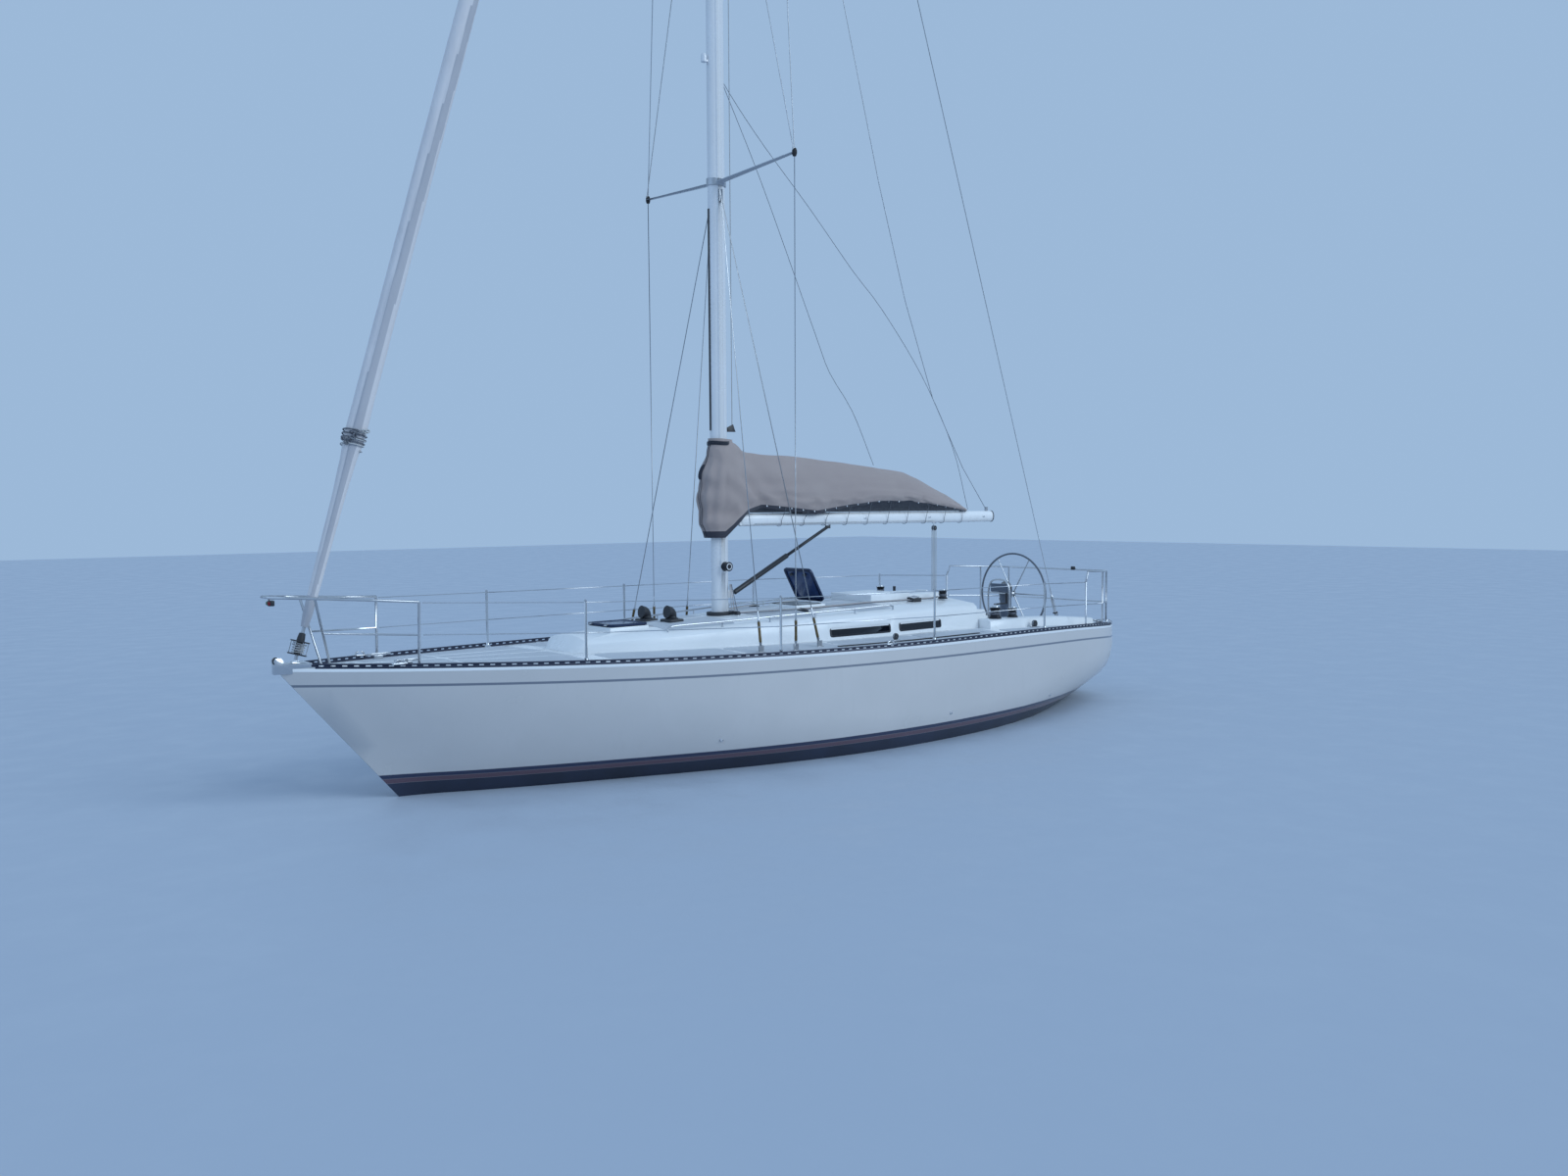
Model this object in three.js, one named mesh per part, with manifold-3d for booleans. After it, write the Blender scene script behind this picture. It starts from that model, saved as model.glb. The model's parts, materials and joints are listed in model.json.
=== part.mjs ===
// Masthead sloop 11.4 m long on deck, in millimetres: +X to the bow, +Y to port, +Z up.
// The origin lies on the waterline's plane, on the centreline, midway along the waterline.
import * as THREE from "three";
import { mergeVertices } from "three/addons/utils/BufferGeometryUtils.js";
import Module from "manifold-3d";

const wasm = await Module();
wasm.setup();

// Driving dimensions
const STEM_X = 5920;
const DECK_LENGTH = 11420;
const SHELL = 30;
const DECK_THICKNESS = 30;
const DECK_CAMBER = 55;
const DECK_WIDEST = 1712;
const DECK_LANES = 6;
const GAP = 0.5;
const WELD = 0.02;
const MAST_X = 900;
const MAST_TOP = 17400;
const MAST_HALF_LENGTH = 110;
const MAST_HALF_WIDTH = 73;
const MAST_WALL = 6;
const MAST_STEP_TOP = 1548;
const WIRE = 5;
const CLIP_HALF = 16;
const TUBE = 12.5;
const RAIL_HEIGHT = 610;
const PUSHPIT_HEIGHT = 750;
const TRUNK_AFT = -2525;
const COCKPIT = { fore: -2527, aft: -4960, half: 905, sole: 600, seat: 950, bottom: 565, wall: 28 };
const FOOTWELL = { aft: -3900, half: 330 };
const HELM_WELL = { aft: -4700, half: 780 };
const COMPANIONWAY = { half: 300, fore: -1900, sill: 1010 };
const GOOSENECK = { x: MAST_X - 170, z: 2600 };
const BOOM = { fore: 600, aft: -3900, halfHeight: 75, halfWidth: 50, wall: 5 };
const MID_HATCH = { hinge: -520, reach: 470, half: 250, open: 60 };
const FORE_HATCH = { hinge: 2560, reach: -490, half: 245, open: 0 };
const HATCH_RIM = 45;
const HATCH_RISE = 20;
const WHEEL = { x: -4410, z: 1490, radius: 570, rim: 14 };
const RUDDER = { x: -4330, stock: 32, top: -230, foot: -1620 };
const LEG = { x: -2960, propX: -3185, propZ: -730 };
const PROP_RADIUS = 205;
const TOE_RAIL = { start: 5640, outer: 4, inner: 30, top: 76 };
const CLEAT_HEIGHT = 62;
const CLEATS = [
  { end: "bow", x: 4850, out: 330 },
  { end: "stern", x: -5200, out: 900 },
];

// Hull stations by share of the deck's length aft of the stem: the deck edge's half-width and
// height, the keel line's height, the section's fullness, and the slope of the station's plane
const STATIONS = [
  { t: 0.0, half: 14, sheer: 1300, keel: -60, full: 1.7, rake: 0.846 },
  { t: 0.0485, half: 291, sheer: 1277, keel: -155, full: 1.72, rake: 0.72 },
  { t: 0.0969, half: 548, sheer: 1256, keel: -235, full: 1.74, rake: 0.55 },
  { t: 0.1939, half: 959, sheer: 1219, keel: -345, full: 1.8, rake: 0.28 },
  { t: 0.2908, half: 1284, sheer: 1189, keel: -425, full: 2.1, rake: 0.1 },
  { t: 0.3877, half: 1506, sheer: 1166, keel: -480, full: 3.0, rake: 0.02 },
  { t: 0.4847, half: 1643, sheer: 1150, keel: -512, full: 4.1, rake: 0 },
  { t: 0.5816, half: 1712, sheer: 1141, keel: -515, full: 4.7, rake: 0 },
  { t: 0.6785, half: 1690, sheer: 1136, keel: -480, full: 4.7, rake: 0 },
  { t: 0.7755, half: 1592, sheer: 1120, keel: -385, full: 4.2, rake: 0.01 },
  { t: 0.8724, half: 1404, sheer: 1086, keel: -195, full: 3.4, rake: 0.06 },
  { t: 0.9694, half: 1130, sheer: 1031, keel: 105, full: 3.0, rake: 0.16 },
  { t: 1.0, half: 915, sheer: 1012, keel: 210, full: 2.8, rake: 0.19 },
];
const SECTION_POWER = 1.9;
const SECTION_STEPS = 10;
const LOFT_SHARES = [
  0, 0.025, 0.05, 0.075, 0.1, 0.13, 0.16, 0.2, 0.24, 0.28, 0.32, 0.36, 0.4, 0.44, 0.48, 0.52, 0.56, 0.6,
  0.64, 0.68, 0.72, 0.76, 0.8, 0.83, 0.86, 0.89, 0.92, 0.945, 0.97, 1,
];

// Cabin trunk: place along the boat, half-width at the deck, height of the roof's edge and middle
const TRUNK = [
  { x: 3070, half: 330, edge: 1262, middle: 1282 },
  { x: 2930, half: 440, edge: 1385, middle: 1425 },
  { x: 2000, half: 650, edge: 1415, middle: 1468 },
  { x: MAST_X, half: 835, edge: 1455, middle: 1515 },
  { x: 100, half: 940, edge: 1480, middle: 1542 },
  { x: -1000, half: 1010, edge: 1500, middle: 1565 },
  { x: TRUNK_AFT, half: 980, edge: 1505, middle: 1568 },
];
const TRUNK_LEAN = 70;
const TRUNK_WALL = 28;

// Windows of the trunk's sides: fore and aft ends, sill and head
const WINDOWS = [
  { fore: 0, aft: -890, sill: 1268, head: 1336 },
  { fore: -1070, aft: -1790, sill: 1268, head: 1336 },
];

// Spreaders: height and half-span of the tips, rise from the mast, chord and thickness
const SPREADERS = [
  { name: "lower", tip: 6459, span: 1331, rise: 60, chord: 115, thickness: 28 },
  { name: "upper", tip: 11500, span: 1010, rise: 50, chord: 95, thickness: 24 },
];

// Topping lift's slack curve between the boom's end and the masthead
const TOPPING_LIFT = [
  { x: -3310, z: 3270 },
  { x: -2710, z: 4170 },
  { x: -2180, z: 5400 },
  { x: -1700, z: 6820 },
  { x: -1030, z: 9100 },
  { x: -330, z: 12000 },
  { x: 260, z: 14900 },
];

const group = new THREE.Group();

// Turns a closed geometry into a solid whose shared vertices are merged.
function solid(geometry) {
  const bare = geometry.index ? geometry.toNonIndexed() : geometry.clone();
  bare.deleteAttribute("normal");
  bare.deleteAttribute("uv");
  const merged = mergeVertices(bare, 1e-3);
  return new wasm.Manifold(
    new wasm.Mesh({
      numProp: 3,
      vertProperties: new Float32Array(merged.attributes.position.array),
      triVerts: new Uint32Array(merged.index.array),
    }),
  );
}

// Adds one named piece to the boat.
function add(name, body, color, roughness = 0.5, metalness = 0) {
  const mesh = body.simplify(WELD).getMesh();
  const geometry = new THREE.BufferGeometry();
  geometry.setAttribute("position", new THREE.BufferAttribute(new Float32Array(mesh.vertProperties), 3));
  geometry.setIndex(new THREE.BufferAttribute(new Uint32Array(mesh.triVerts), 1));
  const piece = new THREE.Mesh(geometry, new THREE.MeshStandardMaterial({ color, roughness, metalness }));
  piece.name = name;
  group.add(piece);
}

const join = (parts) => parts.reduce((sum, part) => sum.add(part));
const vec = (x, y, z) => new THREE.Vector3(x, y, z);

function box(x0, x1, y0, y1, z0, z1) {
  const geometry = new THREE.BoxGeometry(Math.abs(x1 - x0), Math.abs(y1 - y0), Math.abs(z1 - z0));
  geometry.translate((x0 + x1) / 2, (y0 + y1) / 2, (z0 + z1) / 2);
  return solid(geometry);
}

// An outline of [x, y] points raised from z0 to z1.
function raised(points, z0, z1) {
  const shape = new THREE.Shape(points.map(([x, y]) => new THREE.Vector2(x, y)));
  const geometry = new THREE.ExtrudeGeometry(shape, { depth: z1 - z0, bevelEnabled: false });
  return solid(geometry.translate(0, 0, z0));
}

// An outline of [x, z] points spread from y0 to y1.
function spread(points, y0, y1) {
  const shape = new THREE.Shape(points.map(([x, z]) => new THREE.Vector2(x, z)));
  const geometry = new THREE.ExtrudeGeometry(shape, { depth: y1 - y0, bevelEnabled: false });
  return solid(geometry.rotateX(Math.PI / 2).translate(0, y1, 0));
}

// A straight round bar or cone between two points.
function bar(from, to, radius, sides = 8, endRadius = radius) {
  const along = new THREE.Vector3().subVectors(to, from);
  const geometry = new THREE.CylinderGeometry(endRadius, radius, along.length(), sides);
  const turn = new THREE.Quaternion().setFromUnitVectors(vec(0, 1, 0), along.clone().normalize());
  geometry.applyQuaternion(turn);
  geometry.translate((from.x + to.x) / 2, (from.y + to.y) / 2, (from.z + to.z) / 2);
  return solid(geometry);
}

// A solid through rings of equal count, each a closed loop of points seen the same way round.
function loft(rings) {
  const count = rings[0].length;
  const positions = [];
  const push = (...points) => points.forEach((p) => positions.push(p.x, p.y, p.z));
  const middle = (ring) => ring.reduce((sum, p) => sum.add(p), vec(0, 0, 0)).divideScalar(count);
  for (let i = 0; i + 1 < rings.length; i++) {
    for (let j = 0; j < count; j++) {
      const k = (j + 1) % count;
      push(rings[i][j], rings[i + 1][j], rings[i + 1][k]);
      push(rings[i][j], rings[i + 1][k], rings[i][k]);
    }
  }
  const first = rings[0];
  const last = rings[rings.length - 1];
  const firstMiddle = middle(first);
  const lastMiddle = middle(last);
  for (let j = 0; j < count; j++) {
    const k = (j + 1) % count;
    push(firstMiddle, first[j], first[k]);
    push(lastMiddle, last[k], last[j]);
  }
  const geometry = new THREE.BufferGeometry();
  geometry.setAttribute("position", new THREE.Float32BufferAttribute(positions, 3));
  const body = solid(geometry);
  if (body.volume() > 0) return body;
  return loft(rings.map((ring) => [...ring].reverse()));
}

// A bent tube through points, its joints mitred.
function bent(points, radius, sides = 6) {
  const rings = points.map((point, i) => {
    const before = points[Math.max(i - 1, 0)];
    const after = points[Math.min(i + 1, points.length - 1)];
    const into = new THREE.Vector3().subVectors(point, before);
    const out = new THREE.Vector3().subVectors(after, point);
    if (i === 0) into.copy(out);
    if (i === points.length - 1) out.copy(into);
    const along = into.normalize().add(out.normalize()).normalize();
    return { point, along };
  });
  let side = Math.abs(rings[0].along.z) < 0.9 ? vec(0, 0, 1) : vec(1, 0, 0);
  return loft(
    rings.map(({ point, along }) => {
      side = side.clone().addScaledVector(along, -side.dot(along)).normalize();
      const other = new THREE.Vector3().crossVectors(along, side);
      return Array.from({ length: sides }, (_, j) => {
        const a = (2 * Math.PI * j) / sides;
        return point
          .clone()
          .addScaledVector(side, radius * Math.cos(a))
          .addScaledVector(other, radius * Math.sin(a));
      });
    }),
  );
}

// A turned piece on an upright axis: profile of [radius, height] points from axis to axis.
function turned(x, y, z, profile, sides = 20) {
  const points = profile.map(([r, h]) => new THREE.Vector2(r, h));
  const geometry = new THREE.LatheGeometry(points, sides).rotateX(Math.PI / 2).translate(x, y, z);
  return solid(geometry);
}

// Adds a port piece and its mirror image to starboard.
function addPair(name, port, color, roughness, metalness) {
  add(`${name}_port`, port, color, roughness, metalness);
  add(`${name}_starboard`, port.mirror([0, 1, 0]), color, roughness, metalness);
}

// Reads a column of a table between its rows along a smooth curve.
function read(table, by, column, at) {
  const last = table.length - 1;
  const rising = table[last][by] > table[0][by];
  let i = 0;
  while (i < last - 1 && (rising ? at > table[i + 1][by] : at < table[i + 1][by])) i++;
  const slope = (k) => {
    const a = table[Math.max(k - 1, 0)];
    const b = table[Math.min(k + 1, last)];
    return (b[column] - a[column]) / (b[by] - a[by]);
  };
  const span = table[i + 1][by] - table[i][by];
  const s = (at - table[i][by]) / span;
  const values = [table[i][column], slope(i) * span, table[i + 1][column], slope(i + 1) * span];
  const weights = [
    2 * s ** 3 - 3 * s ** 2 + 1,
    s ** 3 - 2 * s ** 2 + s,
    3 * s ** 2 - 2 * s ** 3,
    s ** 3 - s ** 2,
  ];
  return weights.reduce((sum, weight, k) => sum + weight * values[k], 0);
}

function station(t) {
  const value = (column) => read(STATIONS, "t", column, t);
  return {
    x: STEM_X - t * DECK_LENGTH,
    half: value("half"),
    sheer: value("sheer"),
    keel: value("keel"),
    full: value("full"),
    rake: value("rake"),
  };
}

const stations = LOFT_SHARES.map(station);

// Keeps the inner skin's rings off the outer skin's, so that no two edges meet
const INNER_SHIFT = 0.004;

// One hull section from the port deck edge round the keel line to the starboard one.
function hullRing(s, wall) {
  const ring = [];
  for (let j = -SECTION_STEPS; j <= SECTION_STEPS; j++) {
    const angle = (Math.abs(j) / SECTION_STEPS) * (Math.PI / 2);
    const rise = Math.abs(j) === SECTION_STEPS ? 1 : 1 - Math.cos(angle) ** (2 / s.full);
    const out = Math.sin(angle) ** (2 / SECTION_POWER);
    const top = wall ? s.sheer + 5 : s.sheer;
    const z = s.keel + wall + rise * (top - s.keel - wall);
    const y = -Math.sign(j) * out * Math.max(s.half - wall, 1);
    ring.push(vec(s.x - s.rake * (s.sheer - z), y, z));
  }
  return ring;
}

const hullOuter = loft(stations.map((s) => hullRing(s, 0)));
const hullInner = (extra) =>
  loft(
    LOFT_SHARES.filter((t) => t > 0.07 && t < 0.99)
      .concat([0.985])
      .map((t) => hullRing(station(t + INNER_SHIFT), SHELL + extra)),
  );

// The deck edge at a place along the boat, straight between the loft's stations.
function edgeAt(x) {
  let i = 0;
  while (i < stations.length - 2 && stations[i + 1].x > x) i++;
  const [a, b] = [stations[i], stations[i + 1]];
  const s = (x - a.x) / (b.x - a.x);
  return { half: a.half + s * (b.half - a.half), sheer: a.sheer + s * (b.sheer - a.sheer) };
}

// The deck's rise at a share of its half-width, less where the boat is narrow.
const camber = (share, half) => DECK_CAMBER * (half / DECK_WIDEST) * (1 - share * share);

function deckTop(x, y) {
  const { half, sheer } = edgeAt(x);
  const lane = Math.min(Math.abs(y) / half, 1) * DECK_LANES;
  const low = Math.min(Math.floor(lane), DECK_LANES - 1);
  const part = lane - low;
  const rise = camber(low / DECK_LANES, half) * (1 - part) + camber((low + 1) / DECK_LANES, half) * part;
  return sheer + DECK_THICKNESS + rise;
}

function deckRing(s, below, above) {
  const ring = [];
  for (let j = -DECK_LANES; j <= DECK_LANES; j++) {
    const share = j / DECK_LANES;
    ring.push(vec(s.x, share * s.half, s.sheer + above + camber(share, s.half)));
  }
  for (let j = DECK_LANES; j >= -DECK_LANES; j--) {
    const share = j / DECK_LANES;
    ring.push(vec(s.x, share * s.half, s.sheer + below + (below < 0 ? 0 : camber(share, s.half))));
  }
  return ring;
}

const deckSlab = loft(stations.map((s) => deckRing(s, GAP, DECK_THICKNESS)));
const deckMask = loft(stations.map((s) => deckRing(s, -400, DECK_THICKNESS + GAP)));

// The trunk's section: from the port foot over the roof to the starboard foot.
function trunkRing(row, inset, foot) {
  const half = row.half - inset;
  const edge = row.edge - inset;
  const middle = row.middle - inset;
  const shoulder = half - TRUNK_LEAN;
  const side = [
    [half, foot],
    [half - TRUNK_LEAN * 0.75, edge - 40],
    [shoulder - 35, edge],
    [shoulder * 0.5, edge + 0.75 * (middle - edge)],
  ];
  return [
    ...side.map(([y, z]) => vec(row.x, y, z)),
    vec(row.x, 0, middle),
    ...[...side].reverse().map(([y, z]) => vec(row.x, -y, z)),
  ];
}

const trunkRows = (inset) =>
  TRUNK.map((row, i) => {
    if (!inset) return row;
    if (i === 0) return { ...row, x: row.x - 3 * inset };
    return i === TRUNK.length - 1 ? { ...row, x: row.x + inset } : row;
  });
const trunkOuter = loft(trunkRows(0).map((row) => trunkRing(row, 0, 1080)));
const trunkInner = (inset) => loft(trunkRows(inset).slice(1).map((row) => trunkRing(row, inset, 950)));

// Height of the roof's middle lane at a place along the boat.
function roofTop(x, y = 0) {
  let i = 0;
  while (i < TRUNK.length - 2 && TRUNK[i + 1].x > x) i++;
  const [a, b] = [TRUNK[i], TRUNK[i + 1]];
  const s = (x - a.x) / (b.x - a.x);
  const edge = a.edge + s * (b.edge - a.edge);
  const middle = a.middle + s * (b.middle - a.middle);
  const quarter = (a.half + s * (b.half - a.half) - TRUNK_LEAN) * 0.5;
  const crown = 0.25 * (middle - edge);
  return middle - crown * Math.min(Math.abs(y) / quarter, 1);
}

// Cockpit coaming: place along the boat, top height, width of its foot and its crown.
const COAMING = [
  { x: -2535, top: 1300, foot: 250, crown: 190 },
  { x: -3100, top: 1295, foot: 245, crown: 185 },
  { x: -4100, top: 1250, foot: 200, crown: 120 },
  { x: -4900, top: 1180, foot: 120, crown: 60 },
];
const COAMING_INNER = 909;

function buildCoaming(side) {
  const rings = COAMING.map(({ x, top, foot, crown }) =>
    [
      [0, 1060],
      [foot, 1060],
      [(foot + crown) / 2 + 15, top - 12],
      [crown, top],
      [8, top],
      [0, top - 10],
    ].map(([out, z]) => vec(x, side * (COAMING_INNER + out), z)),
  );
  return loft(rings);
}

function buildHull() {
  const shaft = bar(vec(RUDDER.x, 0, -600), vec(RUDDER.x, 0, 200), RUDDER.stock + 5, 16);
  const legHole = box(LEG.x - 70, LEG.x + 95, -46, 46, -700, -200);
  const hull = hullOuter.subtract(hullInner(0)).subtract(shaft).subtract(legHole);
  add("hull_shell", hull, 0xb9bcbe, 0.35);
  const wayIn = box(TRUNK_AFT - 10, TRUNK_AFT + 60, -COMPANIONWAY.half, COMPANIONWAY.half, 900, 1400);
  const well = box(COCKPIT.fore + 2, COCKPIT.aft - 2, -COCKPIT.half - 2, COCKPIT.half + 2, 900, 1400);
  const cockpitHole = well.add(wayIn);
  const underDeck = loft(stations.map((s) => deckRing(s, -400, DECK_THICKNESS / 2)));
  const coamings = join([1, -1].map(buildCoaming)).subtract(underDeck);
  const deck = deckSlab.subtract(trunkInner(TRUNK_WALL - 2)).subtract(cockpitHole).add(coamings);
  add("deck_moulding", deck, 0xe9ebec, 0.6);
  const rail = TOE_RAIL;
  const railRings = stations
    .filter((s) => s.x < rail.start)
    .map((s) => {
      const low = s.sheer + 20;
      const high = s.sheer + rail.top;
      return [
        vec(s.x, s.half - rail.outer, low),
        vec(s.x, s.half - rail.outer, high),
        vec(s.x, s.half - rail.inner, high),
        vec(s.x, s.half - rail.inner, low),
      ];
    });
  addPair("toe_rail", loft(railRings).subtract(deckMask), 0x1b2233, 0.5);
}

function buildTrunk() {
  const wall = trunkOuter.subtract(trunkInner(TRUNK_WALL));
  const opening = box(TRUNK_AFT - 60, COMPANIONWAY.fore, -COMPANIONWAY.half, COMPANIONWAY.half, 1100, 1700);
  const hatches = [MID_HATCH, FORE_HATCH].map((h) => {
    const inner = Math.sign(h.reach) * HATCH_RIM;
    return box(h.hinge + inner, h.hinge + h.reach - inner, -h.half + HATCH_RIM, h.half - HATCH_RIM, 1300, 1700);
  });
  const windowCut = (w, side, grow) =>
    box(w.aft - grow, w.fore + grow, side * 700, side * 1100, w.sill - grow, w.head + grow);
  const cuts = WINDOWS.flatMap((w) => [1, -1].map((side) => windowCut(w, side, 0)));
  const frames = [MID_HATCH, FORE_HATCH].map(hatchFrame);
  const trunk = wall.subtract(deckMask).add(join(frames)).subtract(join([opening, ...hatches, ...cuts]));
  add("cabin_trunk", trunk, 0xeef0f1, 0.45);
  // Each side's two panes are one sheet, let into the cuts and lapping the wall's inner face
  const [first, last] = WINDOWS;
  const lining = trunkInner(TRUNK_WALL - 1).subtract(trunkInner(TRUNK_WALL + 8));
  const seal = trunkOuter.subtract(trunkInner(TRUNK_WALL + GAP)).subtract(join(cuts));
  for (const side of [1, -1]) {
    const panes = join(WINDOWS.map((w) => wall.intersect(windowCut(w, side, -GAP))));
    const reach = box(last.aft - 40, first.fore + 40, side * 700, side * 1100, first.sill - 25, first.head + 25);
    const name = `windows_${side > 0 ? "port" : "starboard"}`;
    add(name, panes.add(lining.intersect(reach).subtract(seal)), 0x141a22, 0.15);
  }
}

const hatchRoof = (h) => Math.max(roofTop(h.hinge, 0), roofTop(h.hinge + h.reach, 0));

// The moulded frame that a hatch's lid lies on.
function hatchFrame(h) {
  const roof = hatchRoof(h);
  return box(h.hinge, h.hinge + h.reach, -h.half, h.half, roof - 60, roof + HATCH_RISE);
}

// A hatch's lid, turned open about the hinge's edge.
function buildHatch(name, h) {
  const sign = Math.sign(h.reach);
  const end = h.hinge + h.reach;
  const frameTop = hatchRoof(h) + HATCH_RISE;
  const lid = box(h.hinge + sign * 14, end, -h.half, h.half, frameTop + 6, frameTop + 34);
  const hinges = [-1, 1].map((side) =>
    box(h.hinge + sign * 2, h.hinge + sign * 30, side * 150 - 25, side * 150 + 25, frameTop + 10, frameTop + 28),
  );
  const pivot = new THREE.Vector3(h.hinge, 0, frameTop + 19);
  const turned = join([lid, ...hinges])
    .translate([-pivot.x, -pivot.y, -pivot.z])
    .rotate([0, -sign * h.open, 0])
    .translate([pivot.x, pivot.y, pivot.z]);
  add(`${name}_hatch_lid`, turned, 0x1d2b4a, 0.2);
}

function buildCockpit() {
  const c = COCKPIT;
  const outline = [
    [c.fore, c.bottom],
    [c.fore, deckTop(c.fore, c.half) - 4],
    [c.aft, deckTop(c.aft, c.half) - 4],
    [c.aft, c.bottom],
  ];
  const block = spread(outline, -c.half, c.half);
  const seats = box(c.fore - c.wall, c.aft + c.wall, -c.half + c.wall, c.half - c.wall, c.seat, 1400);
  const footwell = box(c.fore - 330, FOOTWELL.aft - 10, -FOOTWELL.half, FOOTWELL.half, c.sole, 1400);
  const helm = box(FOOTWELL.aft, HELM_WELL.aft, -HELM_WELL.half, HELM_WELL.half, c.sole, 1400);
  const doorway = box(c.fore + 10, c.fore - 60, -COMPANIONWAY.half, COMPANIONWAY.half, COMPANIONWAY.sill, 1400);
  const lockers = [1, -1].map((side) => box(-2930, -3850, side * 375, side * 825, 640, 1000));
  const under = [
    box(c.fore - c.wall, -2830, -c.half + c.wall, c.half - c.wall, c.bottom - 10, c.seat - 30),
    box(-4735, c.aft + c.wall, -c.half + c.wall, c.half - c.wall, c.bottom - 10, c.seat - 30),
  ];
  const stock = bar(vec(RUDDER.x, 0, 400), vec(RUDDER.x, 0, 640), RUDDER.stock + 6, 12);
  const tub = block.subtract(join([seats, footwell, helm, doorway, ...lockers, ...under, stock]));
  add("cockpit_moulding", tub, 0xe6e8ea, 0.6);
  addPair("locker_lid", box(-2900, -3880, 352, 845, c.seat + GAP, c.seat + 22), 0xe9ebec, 0.6);
}

// A winch drum standing on a level.
function winch(x, y, z, radius, height) {
  const r = radius;
  const h = height;
  const profile = [
    [0, 0],
    [r, 0],
    [r, 0.1 * h],
    [0.72 * r, 0.25 * h],
    [0.68 * r, 0.65 * h],
    [0.9 * r, 0.82 * h],
    [0.9 * r, 0.93 * h],
    [0.35 * r, h],
    [0, h],
  ];
  return turned(x, y, z, profile);
}

function buildDeckGear() {
  addPair("primary_winch", winch(-2790, 1010, 1301, 82, 165), 0xb8bcc2, 0.3, 1);
  addPair("halyard_winch", winch(-2290, 560, roofTop(-2290, 560) + 4, 62, 125), 0xb8bcc2, 0.3, 1);
  // Mooring cleats: a foot and two horns, the horns' upper side flat
  for (const { end, x, out } of CLEATS) {
    const top = deckTop(x, out) + CLEAT_HEIGHT;
    const foot = box(x - 45, x + 45, out - 18, out + 18, top - 90, top - 20);
    const outline = [
      [125, 9],
      [60, 15],
      [-60, 15],
      [-125, 9],
      [-125, -9],
      [-60, -15],
      [60, -15],
      [125, -9],
    ];
    const horns = raised(outline, top - 22, top).translate([x, out, 0]);
    addPair(`${end}_cleat`, foot.add(horns).subtract(deckMask), 0xc4c8cc, 0.3, 1);
  }
}

function buildCompanionway() {
  const half = COMPANIONWAY.half;
  const fore = COMPANIONWAY.fore;
  const roof = 1569;
  const hood = join([
    box(-1190, fore + 20, -half - 62, half + 62, 1480, roof + 78),
    box(-1200, TRUNK_AFT + 5, -half - 62, -half - 38, 1480, roof + 36),
    box(-1200, TRUNK_AFT + 5, half + 38, half + 62, 1480, roof + 36),
  ]);
  const garage = box(-1215, fore - 60, -half - 36, half + 36, 1400, roof + 58);
  add("companionway_hood", hood.subtract(garage).subtract(trunkOuter.translate([0, 0, GAP])), 0xf2f3f4, 0.4);
  const hatch = box(fore + 12, TRUNK_AFT - 22, -half - 28, half + 28, roof + 10, roof + 46);
  const grip = box(TRUNK_AFT + 10, TRUNK_AFT + 40, -90, 90, roof + 44, roof + 70);
  add("companionway_hatch", hatch.add(grip), 0xf0f1f2, 0.4);
  const boards = box(TRUNK_AFT + 3, TRUNK_AFT + 23, -half + 4, half - 4, 1016, roof + 4);
  add("washboards", boards, 0x5a3a22, 0.55);
}

function buildInterior() {
  const inside = hullInner(GAP);
  const room = inside.add(trunkInner(TRUNK_WALL + GAP));
  const plate = box(-1700, 2600, -620, 620, -285, -260);
  const beams = [-1500, -300, 600, 1700].map((x) => box(x - 20, x + 20, -500, 500, -480, -270));
  add("cabin_sole", join([plate, ...beams]).intersect(inside), 0x6b4a2c, 0.5);
  const bulkhead = box(MAST_X - 15, MAST_X + 15, -1500, 1500, -255, 1600).intersect(room);
  const door = box(MAST_X - 30, MAST_X + 30, 150, 720, -200, 1350);
  const deckPlate = deckSlab.subtract(trunkInner(TRUNK_WALL - 2));
  const free = bulkhead.subtract(door).subtract(deckPlate.add(deckPlate.translate([0, 0, -GAP])));
  add("main_bulkhead", free, 0x8a6036, 0.5);
  const rails = [1, -1].map((side) =>
    spread(
      [
        [-1990, -258],
        [-2040, -258],
        [-2490, 1000],
        [-2440, 1000],
      ],
      side * 210 - 14,
      side * 210 + 14,
    ),
  );
  const treads = [0.2, 0.4, 0.6, 0.8].map((s) => {
    const x = -2015 - 450 * s;
    const z = -258 + 1258 * s;
    return box(x - 80, x + 80, -220, 220, z - 14, z + 14);
  });
  add("companionway_ladder", join([...rails, ...treads]), 0x6b4a2c, 0.5);
}

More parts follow.
